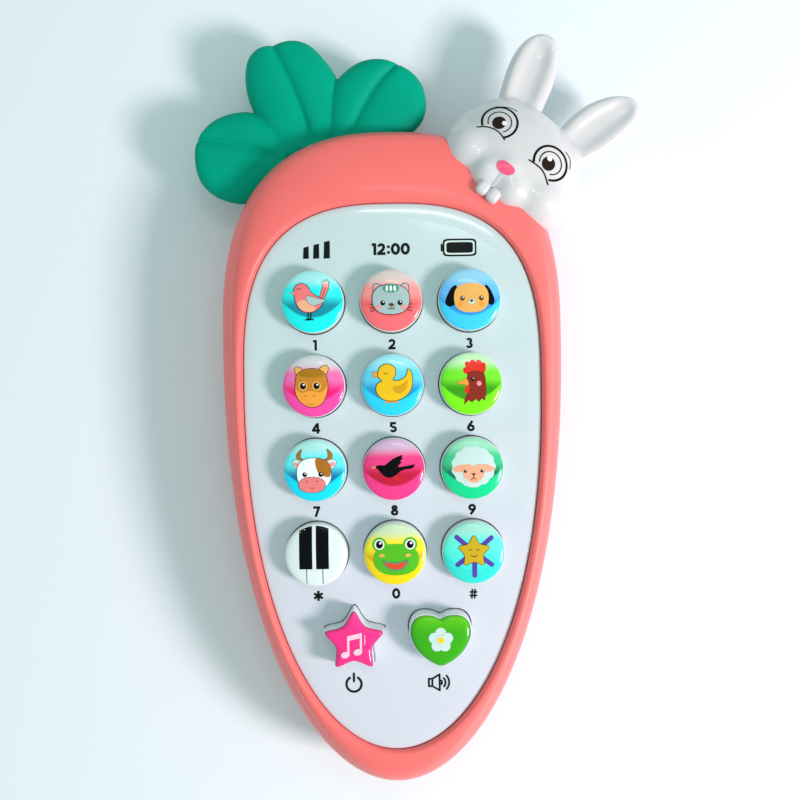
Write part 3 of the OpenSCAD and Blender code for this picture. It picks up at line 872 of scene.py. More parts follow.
def drape(surface: bpy.types.Object) -> Callable[[float, float], float]:
    """Measure the height of a finished piece from above.

    Args:
        surface: The piece.

    Returns:
        A function of x and y in metres that gives the height there.
    """
    tree = BVHTree.FromObject(surface, bpy.context.evaluated_depsgraph_get())

    def height(x: float, y: float) -> float:
        """Height of the highest point here, or of the nearest one where there is none."""
        hit = tree.ray_cast(Vector((x, y, 0.1)), Vector((0, 0, -1)))[0]
        if hit is None:
            hit = tree.find_nearest(Vector((x, y, 0.02)))[0]
        return hit.z

    return height


class Glyphs:
    """Bold geometric signs, each as strokes in a box one unit high."""

    WEIGHT = 0.235
    WIDTHS = {":": 0.26, "1": 0.42, "#": 0.84}

    @staticmethod
    def strokes(sign: str) -> list[list[Spot]]:
        """The centre lines of a sign.

        Args:
            sign: One character.

        Returns:
            Its strokes, with y from 0 at the foot to 1 at the top.
        """
        w = Glyphs.WEIGHT / 2

        def bow(x: float, y: float, half_x: float, half_y: float, start: float, end: float) -> list[Spot]:
            """Part of an oval."""
            return [
                (x + half_x * math.cos(math.radians(a)), y + half_y * math.sin(math.radians(a)))
                for a in (start + (end - start) * k / 20 for k in range(21))
            ]

        return {
            "0": [bow(0.39, 0.5, 0.39 - w, 0.5 - w, 0, 360)],
            "1": [[(0.3, 0), (0.3, 1)], [(0.04, 1 - w * 0.9), (0.3, 1 - w * 0.9)]],
            "2": [bow(0.35, 0.68, 0.33 - w, 0.32 - w, 175, -40), [(0.56, 0.52), (0.1, w)], [(0, w), (0.7, w)]],
            "3": [bow(0.33, 0.73, 0.3 - w, 0.27 - w, 165, -90), bow(0.33, 0.29, 0.34 - w, 0.29 - w, 90, -165)],
            "4": [[(0.54, 0), (0.54, 1)], [(0.5, 0.93), (0.08, 0.3)], [(0, 0.3), (0.76, 0.3)]],
            "5": [[(0.62, 1 - w), (0.14, 1 - w)], [(0.19, 1), (0.15, 0.52)], bow(0.35, 0.32, 0.35 - w, 0.32 - w, 125, -160)],
            "6": [[(0.52, 0.98), (0.13, 0.46)], bow(0.37, 0.33, 0.37 - w, 0.33 - w, 0, 360)],
            "7": [[(0, 1 - w), (0.64, 1 - w)], [(0.55, 0.94), (0.22, 0)]],
            "8": [bow(0.36, 0.74, 0.3 - w, 0.26 - w, 0, 360), bow(0.36, 0.3, 0.36 - w, 0.3 - w, 0, 360)],
            "9": [[(0.22, 0.02), (0.61, 0.54)], bow(0.37, 0.67, 0.37 - w, 0.33 - w, 0, 360)],
            ":": [[(0.13, 0.1), (0.13, 0.32)], [(0.13, 0.58), (0.13, 0.8)]],
            "#": [[(0.22, 0), (0.3, 1)], [(0.5, 0), (0.58, 1)], [(0.02, 0.68), (0.8, 0.68)], [(0, 0.32), (0.78, 0.32)]],
            "*": [
                [
                    (0.36 - 0.48 * math.cos(math.radians(a)), 0.38 - 0.48 * math.sin(math.radians(a))),
                    (0.36 + 0.48 * math.cos(math.radians(a)), 0.38 + 0.48 * math.sin(math.radians(a))),
                ]
                for a in (90, 30, 150)
            ],
        }[sign]

    @staticmethod
    def write(print_: Print, text: str, centre: Spot, height: float, slim: float = 1.0) -> None:
        """Write signs on a print, centred on a point.

        Args:
            print_: The print that they go on.
            text: The signs.
            centre: Middle of the line.
            height: Height of the signs.
            slim: How much thinner than bold the strokes are.
        """
        gap = 0.07
        total = sum(Glyphs.WIDTHS.get(sign, 0.76) for sign in text) + gap * (len(text) - 1)
        x = centre[0] - total * height / 2
        for sign in text:
            for stroke in Glyphs.strokes(sign):
                path = [(x + px * height, centre[1] + (py - 0.5) * height) for px, py in stroke]
                print_.add(band(path, Glyphs.WEIGHT * height * slim), Ink.SIGN)
            x += (Glyphs.WIDTHS.get(sign, 0.76) + gap) * height


# ---------------------------------------------------------------- case


@dataclass(frozen=True)
class EggOutline:
    """An egg-shaped outline of two superellipse halves that meet at the widest line."""

    half_width: float
    centre_y: float
    top: float
    bottom: float
    top_powers: Spot
    bottom_powers: Spot
    count: int = 144

    def spots(self, inset: float = 0.0) -> list[Spot]:
        """The outline's points, moved inwards by an inset."""
        base: list[Spot] = []
        for index in range(self.count):
            angle = 2 * math.pi * index / self.count
            cosine, sine = math.cos(angle), math.sin(angle)
            upper = sine >= -1e-9
            tall, (along, across) = (self.top, self.top_powers) if upper else (self.bottom, self.bottom_powers)
            base.append(
                (
                    self.half_width * signed_power(cosine, 2 / across),
                    self.centre_y + tall * signed_power(sine if not upper else max(sine, 0), 2 / along),
                )
            )
        return spread(base, -inset) if inset else base

    def ring(self, inset: float, height: float) -> Ring:
        """The outline as a ring at a height."""
        return [Vector((x * MM, y * MM, height * MM)) for x, y in self.spots(inset)]


BODY = EggOutline(40.9, 28.0, 50.0, 105.9, (2.7, 2.5), (2.2, 2.0))
FACE = EggOutline(34.6, 16.9, 42.3, 84.6, (3.0, 2.7), (2.2, 2.0))


def blend_rings(first: Ring, second: Ring, share: float) -> Ring:
    """A ring between two others, in the plane, at the first one's height."""
    return [a.lerp(b, share) for a, b in zip(first, second)]


def lift_ring(ring: Ring, height: float) -> Ring:
    """The same ring at another height."""
    return [Vector((p.x, p.y, height * MM)) for p in ring]


def fair(rings: Sequence[Ring], steps: int = 3) -> list[Ring]:
    """Run smooth rings through a few.

    Args:
        rings: The rings that the surface passes through.
        steps: Rings for each stretch.

    Returns:
        All rings, the given ones among them.
    """
    smooth: list[Ring] = []
    last = len(rings) - 1
    for index in range(last):
        group = (rings[max(index - 1, 0)], rings[index], rings[index + 1], rings[min(index + 2, last)])
        for step in range(steps):
            t = step / steps
            smooth.append(
                [
                    Vector(tuple(catmull(a[k], b[k], c[k], d[k], t) for k in range(3)))
                    for a, b, c, d in zip(*group)
                ]
            )
    smooth.append(rings[-1])
    return smooth


def star_outline(grow: float = 0.0) -> list[Spot]:
    """Outline of the plump star key, grown by a distance."""
    share = 1 + grow / 6.6
    corners = [
        (
            (8.0 if index % 2 == 0 else 4.2) * share * math.cos(math.radians(90 + 36 * index)),
            (8.0 if index % 2 == 0 else 4.2) * share * math.sin(math.radians(90 + 36 * index)),
        )
        for index in range(10)
    ]
    return round_corners(round_corners(corners, 1, 0.16), 2)


HEART_HALF: tuple[Spot, ...] = (
    (0, 4.85), (1.25, 5.6), (2.85, 5.95), (4.75, 5.85), (6.2, 5.0), (7.05, 3.45), (7.25, 1.45), (6.55, -0.7),
    (5.25, -2.85), (3.1, -4.75), (0.95, -5.95),
)


def heart_outline(grow: float = 0.0) -> list[Spot]:
    """Outline of the plump heart key, grown by a distance."""
    share = 1 + grow / 6.3
    corners = [(-x, y) for x, y in HEART_HALF] + [(0.0, -6.15)] + [(x, y) for x, y in HEART_HALF[:0:-1]]
    return round_corners([(x * share, y * share) for x, y in corners], 2)


@dataclass
class KeyPlan:
    """Where the keys are and how large their holes are."""

    columns: tuple[float, ...] = (-18.0, 0.0, 18.0)
    rows: tuple[float, ...] = (36.2, 16.9, -2.4, -21.7)
    radius: float = 7.2
    gap: float = 0.2
    star: Spot = (-9.6, -41.3)
    heart: Spot = (10.1, -41.2)

    def round_centres(self) -> list[Spot]:
        """Centres of the round keys, row by row."""
        return [(x, y) for y in self.rows for x in self.columns]

    def holes(self) -> list[list[Spot]]:
        """Outlines of all the key holes."""
        loops = [oval(centre, self.radius + self.gap, self.radius + self.gap, count=64) for centre in self.round_centres()]
        for centre, outline in ((self.star, star_outline(self.gap)), (self.heart, heart_outline(self.gap))):
            loops.append([(centre[0] + x, centre[1] + y) for x, y in outline])
        return loops


PLAN = KeyPlan()


@dataclass
class Case:
    """The two coral shells."""

    parting: float = 12.5
    crest: float = 25.0
    seat: float = 22.4
    deck: float = 20.4
    screw_posts: tuple[Spot, ...] = ((33.3, 44), (-33.3, 44), (13.3, -60.5), (-13.3, -60.5))
    board_posts: tuple[Spot, ...] = ((29.6, 26.5), (-29.6, 26.5), (28.6, -12.1), (-28.6, -12.1))
    door_posts: tuple[Spot, ...] = ((0, -45.2), (0, 15.2))
    leaf_pins: tuple[Spot, ...] = ((-18.6, 68.3), (-10.2, 70.7))
    bay: tuple[float, float, float, float] = (-11.4, 11.4, -40.5, 10.5)
    door: tuple[float, float, float, float] = (-14.4, 14.4, -49.0, 19.0)
    speaker: Spot = (0, 47)

    def build(self) -> None:
        """Make both shells and fix them to the frame."""
        self.front()
        self.back()

    def front_outside(self) -> list[Ring]:
        """The outer surface from the parting line to the panel's groove."""
        shoulder = BODY.ring(3.2, 22.7)
        crest = FACE.ring(-1.45, self.crest)
        controls = [
            BODY.ring(0, self.parting),
            BODY.ring(0.1, 15),
            BODY.ring(0.6, 18),
            BODY.ring(1.7, 20.7),
            shoulder,
            lift_ring(blend_rings(shoulder, crest, 0.3), 23.95),
            lift_ring(blend_rings(shoulder, crest, 0.65), 24.7),
            crest,
            FACE.ring(-0.75, 24.85),
            FACE.ring(-0.25, 24.3),
        ]
        return fair(controls, 3)

    def front(self) -> bpy.types.Object:
        """The front shell with its bezel, deck and posts."""
        rings = self.front_outside() + [
            FACE.ring(-0.15, 24.05),
            FACE.ring(-0.15, self.seat),
            FACE.ring(2.0, self.seat),
            FACE.ring(2.0, self.deck),
            BODY.ring(4.6, self.deck),
            BODY.ring(2.9, 18),
            BODY.ring(2.2, 15),
            BODY.ring(2.0, self.parting),
        ]
        shell = Bench.loft("front_skin", rings, endless=True)
        deck = Bench.plate("deck", [FACE.spots(1.9)] + PLAN.holes(), self.deck, self.seat, 0.1)
        posts = [Bench.rod(at, 3, self.parting + 0.05, self.deck + 0.2) for at in self.screw_posts]
        posts += [Bench.rod(at, 2.4, 16.25, self.deck + 0.2) for at in self.board_posts]
        shell = Bench.join("front_shell_skin", [shell, deck, *posts])
        Bench.dress(shell, CORAL.make())
        Bench.smooth(shell, 40)
        return Bench.hand_over(shell, "case", "coral_plastic", ["front_shell"])

    def back(self) -> bpy.types.Object:
        """The back shell with the battery bay, the screw wells and the speaker's grille."""
        outside = fair(
            [
                BODY.ring(9.2, 0),
                BODY.ring(7.4, 0.35),
                BODY.ring(5.2, 1.5),
                BODY.ring(2.9, 3.6),
                BODY.ring(1.2, 6.4),
                BODY.ring(0.3, 9.6),
                BODY.ring(0.0, self.parting - 0.12),
            ],
            3,
        )
        rings = [BODY.ring(10, 0)] + outside + [
            BODY.ring(0.12, self.parting),
            BODY.ring(2.2, self.parting),
            BODY.ring(2.2, 13.8),
            BODY.ring(3.2, 13.8),
            BODY.ring(3.2, 11),
            BODY.ring(2.3, 9.6),
            BODY.ring(3.2, 6.4),
            BODY.ring(4.8, 4.2),
            BODY.ring(7.2, 2.5),
            BODY.ring(9.5, 2),
        ]
        shell = Bench.loft("back_shell_skin", rings)
        x0, x1, y0, y1 = self.bay
        additions = [
            Bench.block((-16, -51, 0.6), (16, 21, 3.8)),
            Bench.block((x0 - 1.2, y0 - 1.2, 1), (x1 + 1.2, y1 + 1.2, 14.2)),
            *[Bench.rod(at, 2.8, 1, 9.5) for at in self.door_posts],
            *[Bench.rod(at, 3, 4.6, self.parting) for at in self.screw_posts],
            *[Bench.rod(at, 3.6, 2.6, 9.5) for at in self.screw_posts],
            Bench.rod(self.speaker, 15.6, 1.5, 5.5, 64),
        ]
        for tool in additions:
            Bench.carve(shell, [tool], "UNION")
        d0, d1, e0, e1 = self.door
        cutters = [
            Bench.block((d0 - 0.15, e0 - 0.15, -2), (d1 + 0.15, e1 + 0.15, 2.05)),
            Bench.block((x0, y0, -1), (x1, y1, 13)),
            *[Bench.rod(at, 2.7, -1, 7) for at in self.screw_posts],
            *[Bench.rod(at, 1.5, 6, 20) for at in self.screw_posts],
            *[Bench.rod(at, 1.25, -1, 8.5) for at in self.door_posts],
            Bench.rod(self.speaker, 14.3, 2, 11, 64),
            *[Bench.rod(at, 1, -1, 4, 20) for at in self.grille()],
        ]
        for tool in cutters:
            Bench.carve(shell, [tool])
        Bench.dress(shell, CORAL.make())
        Bench.smooth(shell, 32)
        return Bench.hand_over(shell, "case", "coral_plastic", ["back_shell"])

    def grille(self) -> list[Spot]:
        """Centres of the speaker's grille holes."""
        holes: list[Spot] = [self.speaker]
        for radius, first, turn in ((4, 0, 60), (8, 15, 30)):
            for angle in range(first, 360, turn):
                holes.append(
                    (
                        self.speaker[0] + radius * math.cos(math.radians(angle)),
                        self.speaker[1] + radius * math.sin(math.radians(angle)),
                    )
                )
        return holes


@dataclass
class FacePanel:
    """The white panel and what is printed on it."""

    low: float = 22.4
    high: float = 24.0
    sign_height: float = 2.45
    sign_drop: float = 9.8
    rim: float = 4.0

    def build(self) -> None:
        """Make the panel and its print."""
        plate = Bench.plate("plate", [FACE.spots(self.rim - 0.1)] + PLAN.holes(), self.low, self.high, 0.15)
        rolled = fair(
            [
                FACE.ring(0, self.high - 0.6),
                FACE.ring(0.12, self.high - 0.38),
                FACE.ring(0.4, self.high - 0.25),
                FACE.ring(0.8, self.high - 0.165),
                FACE.ring(1.4, self.high - 0.105),
                FACE.ring(2.0, self.high - 0.062),
                FACE.ring(2.7, self.high - 0.026),
                FACE.ring(3.4, self.high - 0.006),
                FACE.ring(self.rim, self.high),
            ],
            2,
        )
        edge = Bench.loft("edge", [FACE.ring(self.rim, self.low), FACE.ring(0, self.low), *rolled], endless=True)
        panel = Bench.join("face_plate", [Bench.smooth(plate, 8), Bench.smooth(edge, 40)])
        Bench.dress(panel, PANEL.make())
        Bench.hand_over(panel, "case", "panel_plastic", ["face_panel"])
        printed = self.signs().build(lambda x, y: self.high * MM)
        Bench.hand_over(printed, "case", "panel_plastic")

    def signs(self) -> Print:
        """The digits, the status row and the two signs under the star and the heart."""
        signs = Print("panel_print", step=0.0015, cell=50)
        for text, (x, y) in zip("123456789*0#", PLAN.round_centres()):
            hatch = text == "#"
            place = (x + 0.1, y - self.sign_drop - (0.35 if hatch else 0))
            Glyphs.write(signs, text, place, self.sign_height * (0.92 if hatch else 1), 0.72 if hatch else 1.0)
        Glyphs.write(signs, "12:00", (0.05, 48.5), 2.75, 1.0)
        self.signal(signs)
        self.battery(signs)
        self.power(signs)
        self.speaker(signs)
        return signs

    def signal(self, signs: Print) -> None:
        """Three rising bars with slanted tops."""
        for x, wide, tall in ((-20.3, 1.35, 2.85), (-17.95, 1.42, 3.45), (-15.5, 1.45, 4.1)):
            signs.add([(x, 46.5), (x + wide, 46.55), (x + wide, 46.55 + tall), (x + 0.15, 46.25 + tall)], Ink.SIGN)

    def battery(self, signs: Print) -> None:
        """A full battery in its outline."""
        centre = (16.1, 48.6)
        for half_x, half_y, ink in ((3.9, 2.05, Ink.SIGN), (3.5, 1.65, Ink.SNOW), (3.1, 1.25, Ink.SIGN)):
            signs.add(pillow(centre, half_x, half_y, 7), ink)
        signs.add(band([(11.95, 47.9), (11.95, 49.3)], 0.45, True), Ink.SIGN)

    def power(self, signs: Print) -> None:
        """An open ring with a bar."""
        centre = (-10.0, -52.4)
        signs.add(band(arc(centre, 1.75, 122, 418, 28), 0.52, True), Ink.SIGN)
        signs.add(band([(centre[0], centre[1] + 0.65), (centre[0], centre[1] + 2.45)], 0.5, True), Ink.SIGN)

    def speaker(self, signs: Print) -> None:
        """A loudspeaker with three sound waves."""
        x, y = 9.15, -52.3
        corners = [(x - 0.95, y + 0.85), (x + 0.75, y + 1.85), (x + 0.75, y - 1.85), (x - 0.95, y - 0.85), (x - 0.95, y + 0.85)]
        box = [(x - 0.95, y + 0.85), (x - 1.75, y + 0.85), (x - 1.75, y - 0.85), (x - 0.95, y - 0.85)]
        for path in (corners, box):
            for start, end in zip(path, path[1:]):
                signs.add(band([start, end], 0.42, True), Ink.SIGN)
        for radius in (0.65, 1.45, 2.3):
            signs.add(band(arc((x + 0.65, y), radius, -42, 42, 12), 0.42, True), Ink.SIGN)


# ---------------------------------------------------------------- keys


@dataclass(frozen=True)
class LabelColours:
    """The colours of one round label: its own middle tint, and the pale, deep and bright colours of its painted
    reflection.
    """

    pale: Colour
    middle: Colour
    deep: Colour
    bright: Colour


# Pale, deep and bright are painted reflection on each label's dome; middle is the label's own colour.
LABELS: dict[str, LabelColours] = {
    "key_1": LabelColours(shade(168, 236, 238), shade(40, 238, 240), shade(0, 142, 160), shade(6, 236, 236)),
    "key_2": LabelColours(shade(222, 205, 202), shade(252, 150, 148), shade(238, 92, 96), shade(251, 108, 116)),
    "key_3": LabelColours(shade(150, 212, 240), shade(104, 188, 250), shade(44, 146, 226), shade(60, 205, 252)),
    "key_4": LabelColours(shade(214, 212, 216), shade(242, 110, 180), shade(246, 0, 118), shade(248, 70, 166)),
    "key_5": LabelColours(shade(160, 230, 240), shade(96, 212, 248), shade(24, 152, 212), shade(38, 210, 254)),
    "key_6": LabelColours(shade(200, 246, 190), shade(120, 235, 40), shade(56, 158, 2), shade(126, 246, 6)),
    "key_7": LabelColours(shade(176, 232, 230), shade(94, 240, 250), shade(0, 120, 172), shade(0, 220, 250)),
    "key_8": LabelColours(shade(214, 180, 212), shade(246, 60, 136), shade(198, 0, 52), shade(250, 56, 140)),
    "key_9": LabelColours(shade(160, 226, 194), shade(60, 200, 140), shade(4, 112, 88), shade(6, 216, 146)),
    "key_asterisk": LabelColours(shade(232, 240, 241), shade(226, 236, 238), shade(224, 234, 236), shade(228, 238, 238)),
    "key_0": LabelColours(shade(208, 228, 190), shade(246, 230, 40), shade(222, 168, 0), shade(252, 216, 0)),
    "key_hash": LabelColours(shade(164, 228, 212), shade(96, 244, 222), shade(74, 236, 222), shade(52, 224, 214)),
}


class Pictures:
    """The simple animals and signs on the labels, in millimetres from each key's centre."""

    THIN = 0.14

    @classmethod
    def songbird(cls, pic: Print) -> None:
        """A pink bird that looks left with its tail up."""
        tail = [(1.8, 0.4), (2.2, 2.2), (2.6, 3.3), (2.3, 4.4), (2.9, 4.3), (3.4, 4.9), (3.9, 4.2), (3.7, 2.6), (3.1, 1.3), (2.7, 0.3)]
        pic.add(tail, Ink.CORAL_PINK, cls.THIN)
        pic.add([(2.55, 3.4), (2.35, 4.35), (2.9, 4.25), (3.4, 4.8), (3.85, 4.15), (3.75, 3.2), (3.1, 3.0)], Ink.PINK)
        pic.add([(2.45, 3.9), (2.35, 4.35), (2.9, 4.25), (3.4, 4.8), (3.85, 4.15), (3.8, 3.8), (3.2, 4.1)], Ink.SNOW)
        pic.add(band([(3.1, 3.2), (2.8, 2.0), (2.4, 0.8)], 0.1), Ink.BLACK)
        for x in (-0.8, -0.2):
            pic.add(band([(x, -2.2), (x - 0.1, -4.0)], 0.24), Ink.BLACK)
            pic.add(band([(x - 0.75, -4.35), (x - 0.1, -4.0), (x + 0.55, -4.3)], 0.3), Ink.BLACK)
        body = smooth_loop(
            [(-4.0, 1.9), (-3.7, 3.3), (-2.4, 4.0), (-1.0, 3.4), (-0.2, 2.0), (1.4, 0.9), (2.7, 0.2), (1.7, -1.5), (0.0, -2.5), (-2.0, -2.3), (-3.4, -0.8)]
        )
        pic.add(body, Ink.CORAL_PINK, cls.THIN)
        pic.add(smooth_loop([(-3.4, -0.6), (-2.2, 0.2), (-0.6, -0.2), (0.8, -1.7), (0.0, -2.4), (-2.0, -2.2)]), Ink.PEACH)
        pic.add(smooth_loop([(-1.2, 1.1), (0.2, 0.9), (1.8, 0.4), (3.2, 0.2), (1.7, -0.7), (0.2, -1.0), (-0.9, -0.2)]), Ink.WING_GREY, 0.08)
        pic.add([(-3.8, 2.3), (-4.8, 1.8), (-3.9, 1.4)], Ink.PINK, 0.06)
        pic.add(band(arc((-2.9, 2.3), 0.55, 150, 40, 8), 0.14), Ink.DARK_BROWN)

    @classmethod
    def kitten(cls, pic: Print) -> None:
        """A grey kitten's face."""
        for side in (-1, 1):
            ear = [(side * 4.15, 4.1), (side * 1.6, 3.1), (side * 3.9, 0.6)]
            pic.add(round_corners(ear, 2), Ink.GREY_BLUE, cls.THIN)
            pic.add(round_corners([(side * 3.85, 3.6), (side * 2.3, 3.0), (side * 3.8, 1.4)], 2), Ink.PINK)
            for start, end in ((-1.2, -0.9), (-1.7, -1.8), (-2.2, -2.6)):
                pic.add(band([(side * 3.7, start), (side * 4.8, end)], 0.2), Ink.DARK_BROWN)
        pic.add(pillow((0, 0.1), 4.2, 3.35, 2.4), Ink.GREY_BLUE, cls.THIN)
        pic.add(oval((0, 2.6), 1.9, 1.0), Ink.STRIPE_GREEN)
        for x in (-0.9, 0.0, 0.9):
            pic.add(oval((x, 2.6), 0.28, 0.7, count=16), Ink.WHITE)
        for side in (-1, 1):
            pic.add(oval((side * 3.0, -1.7), 0.7, 0.5, count=18), Ink.PINK)
            pic.eye((side * 1.95 + 0.1, -0.7), 0.52)
            pic.add(band(arc((side * 0.36 + 0.1, -1.75), 0.36, 180, 360, 8), 0.16), Ink.DARK_BROWN)
        pic.add(oval((0.1, -1.15), 0.58, 0.36, count=18), Ink.DARK_BROWN)

    @classmethod
    def puppy(cls, pic: Print) -> None:
        """A tan puppy's face with dark ears."""
        for ear in (
            [(-2.9, 3.4), (-4.3, 2.7), (-5.5, 0.2), (-5.7, -1.1), (-4.6, -1.9), (-3.2, -1.2), (-2.9, 1.0)],
            [(3.3, 3.4), (4.4, 2.7), (5.5, 0.3), (5.65, -0.9), (4.9, -1.7), (3.9, -0.8), (3.5, 1.0)],
        ):
            pic.add(round_corners(ear, 2), Ink.BLACK)
        pic.add(pillow((0.3, 0.25), 3.95, 3.35, 2.5), Ink.TAN)
        for x, low, eye in ((-2.2, -1.2, -1.75), (2.75, -1.25, 2.55)):
            pic.add(oval((x, low), 0.62, 0.6, count=18), Ink.ORANGE)
            pic.eye((eye, 0.1), 0.52, Ink.DARK_BROWN)
        pic.add(oval((0.35, -0.65), 0.68, 0.6, count=20), Ink.SNOW)
        pic.add(oval((0.35, -0.45), 0.36, 0.26, count=14), Ink.BLACK)
        pic.add(band([(0.35, -0.5), (0.35, -1.0)], 0.13), Ink.BLACK)

    @classmethod
    def pony(cls, pic: Print) -> None:
        """A brown pony's face with a light muzzle."""
        for ear in ([(-4.4, 4.5), (-2.4, 4.1), (-2.1, 2.6), (-3.7, 1.9)], [(0.8, 3.0), (2.0, 4.5), (3.6, 4.7), (3.1, 2.2)]):
            pic.add(round_corners(ear, 2), Ink.TAN, cls.THIN)
        head = smooth_loop(
            [(-3.9, 1.5), (-4.05, -1.2), (-3.0, -3.5), (-0.6, -4.8), (1.8, -4.1), (3.0, -1.9), (3.3, 0.2), (2.9, 2.3), (1.5, 3.6), (-0.6, 3.9), (-2.4, 3.5), (-3.6, 2.6)], 4
        )
        pic.add(head, Ink.ORANGE, cls.THIN)
        brow = smooth_loop(
            [(-3.9, 1.5), (-3.95, -0.4), (-2.6, -1.5), (-0.5, -1.1), (1.6, -1.5), (2.9, -0.5), (3.25, 0.4), (2.85, 2.3), (1.5, 3.55), (-0.6, 3.85), (-2.4, 3.45), (-3.55, 2.6)], 4
        )
        pic.add(brow, Ink.AMBER)
        pic.add(smooth_loop([(-3.1, 2.4), (-0.5, 1.9), (2.4, 2.3), (1.5, 3.5), (-0.6, 3.8), (-2.4, 3.4)], 4), Ink.OCHRE)
        for x in (-2.3, 0.8):
            pic.add(oval((x, 0.0), 1.02, 1.05), Ink.TAN)
            pic.eye((x, 0.0), 0.7)
        for x in (-1.7, 0.2):
            pic.add(oval((x, -2.3), 0.15, 0.17, count=10), Ink.OCHRE)
        pic.add(band(arc((-0.6, -2.9), 1.3, 240, 300, 8), 0.1), Ink.OCHRE)

    @classmethod
    def duckling(cls, pic: Print) -> None:
        """A yellow duckling that looks left."""
        for x in (-1.0, 0.6):
            pic.add([(x, -3.2), (x - 0.9, -4.1), (x + 0.9, -4.1)], Ink.ORANGE, 0.07)
        pic.add(round_corners([(-3.0, 2.9), (-4.8, 3.0), (-4.2, 2.3), (-4.6, 1.6), (-3.0, 1.9)], 1), Ink.ORANGE, 0.07)
        body = smooth_loop(
            [(-3.2, 2.6), (-2.6, 4.1), (-1.0, 4.7), (0.5, 3.9), (0.7, 2.3), (0.1, 1.0), (1.8, 1.0), (3.2, 2.0), (3.7, 3.5), (4.5, 2.2), (4.4, -0.6), (3.0, -2.6), (0.6, -3.6), (-2.0, -3.3), (-3.5, -1.8), (-3.5, 0.0), (-2.3, 0.9), (-3.0, 1.6)]
        )
        pic.add(body, Ink.GOLD, cls.THIN)
        pic.add(smooth_loop([(0.2, -0.4), (1.9, -0.1), (3.4, 1.0), (3.2, -0.9), (1.8, -2.0), (0.4, -1.6)]), Ink.WING_GOLD)
        pic.add(band(arc((-1.5, 2.9), 0.42, 200, 340, 8), 0.15), Ink.DARK_BROWN)

    @classmethod
    def rooster(cls, pic: Print) -> None:
        """A rooster's head that looks left."""
        comb = round_corners(
            [(-0.9, 2.0), (-1.9, 2.6), (-1.8, 3.6), (-1.2, 3.7), (-1.5, 4.9), (-0.6, 5.1), (-0.5, 4.7), (0.0, 5.5), (0.8, 5.4), (0.9, 4.9), (1.5, 5.5), (2.3, 5.2), (2.4, 4.7), (3.2, 4.8), (3.4, 3.9), (3.3, 2.9), (2.9, 2.3)], 1
        )
        pic.add(comb, Ink.RED)
        pic.add([(-1.0, 1.3), (-3.4, 0.1), (-0.4, -0.5)], Ink.ORANGE, 0.07)
        neck = [
            (-0.8, 2.3), (0.4, 2.8), (1.8, 2.7), (2.9, 2.3), (3.2, 1.0), (3.3, -1.8), (3.0, -4.0), (2.3, -3.4), (1.7, -4.2), (0.9, -3.4), (0.1, -4.3), (-0.7, -3.7), (-1.7, -4.8), (-1.5, -3.4), (-0.9, -2.4), (-0.7, -1.0), (-0.5, 0.2), (-1.0, 1.2)
        ]
        pic.add(neck, Ink.CHESTNUT, 0.06)
        pic.add(smooth_loop([(-1.0, -0.5), (-0.4, -0.6), (-0.6, -1.8), (-1.3, -2.2), (-1.6, -1.4)], 4), Ink.RED)
        pic.eye((0.35, 1.0), 0.4)
        pic.add(oval((1.75, 0.0), 0.56, 0.56, count=18), Ink.PINK)

    @classmethod
    def calf(cls, pic: Print) -> None:
        """A white calf's face with horns and a brown patch."""
        for side in (-1, 1):
            horn = smooth_loop(
                [(side * 1.2, 2.0), (side * 2.6, 2.6), (side * 3.2, 3.4), (side * 2.9, 4.9), (side * 4.1, 3.6), (side * 3.6, 2.0), (side * 2.6, 1.2)]
            )
            pic.add(horn, Ink.BROWN, 0.07)
            ear = smooth_loop([(side * 2.6, 1.9), (side * 4.2, 2.6), (side * 5.0, 2.0), (side * 4.4, 0.7), (side * 3.0, 0.4)])
            pic.add(ear, Ink.SNOW, 0.08)
            pic.add(oval((side * 4.0, 1.4), 0.8, 0.45, side * 25, 16), Ink.PINK)
        pic.add(pillow((-0.1, -0.6), 3.9, 3.5, 2.5), Ink.WHITE, 0.09)
        pic.add(smooth_loop([(0.4, 2.8), (2.4, 2.4), (3.7, 0.8), (3.6, -1.2), (2.6, -1.4), (1.0, -0.6), (0.3, 1.2)]), Ink.BROWN)
        pic.add(pillow((-0.6, -3.2), 3.0, 1.75, 2.3), Ink.SALMON, 0.09)
        for eye, nostril in ((-2.2, -1.7), (1.45, 0.6)):
            pic.eye((eye, -0.85), 0.5)
            pic.add(oval((nostril, -2.4), 0.2, 0.24, count=12), Ink.RED)
        pic.add(band(arc((-0.5, -3.1), 0.9, 235, 305, 8), 0.16), Ink.RED)

    @classmethod
    def blackbird(cls, pic: Print) -> None:
        """A black bird in flight."""
        bird = [
            (-4.6, 0.5), (-3.9, 0.9), (-2.9, 1.1), (-2.1, 0.9), (-1.4, 1.5), (0.2, 2.7), (2.3, 3.4), (1.7, 2.6), (2.3, 2.7), (1.4, 1.8), (2.0, 1.7), (0.7, 0.5), (2.6, 0.7), (5.1, 1.2), (4.6, 0.6), (4.4, 0.2), (1.9, -0.1), (0.9, -1.0), (-0.6, -1.9), (-2.1, -1.6), (-3.2, -0.4), (-3.7, 0.3)
        ]
        pic.add(round_corners(bird, 1), Ink.BLACK)
        pic.add([(-4.1, 0.9), (-5.2, 0.35), (-4.1, 0.35)], Ink.ORANGE)
        for x in (0.1, 0.7):
            pic.add(band([(x, -1.5), (x + 0.4, -2.3), (x + 0.9, -2.4)], 0.2), Ink.RED)

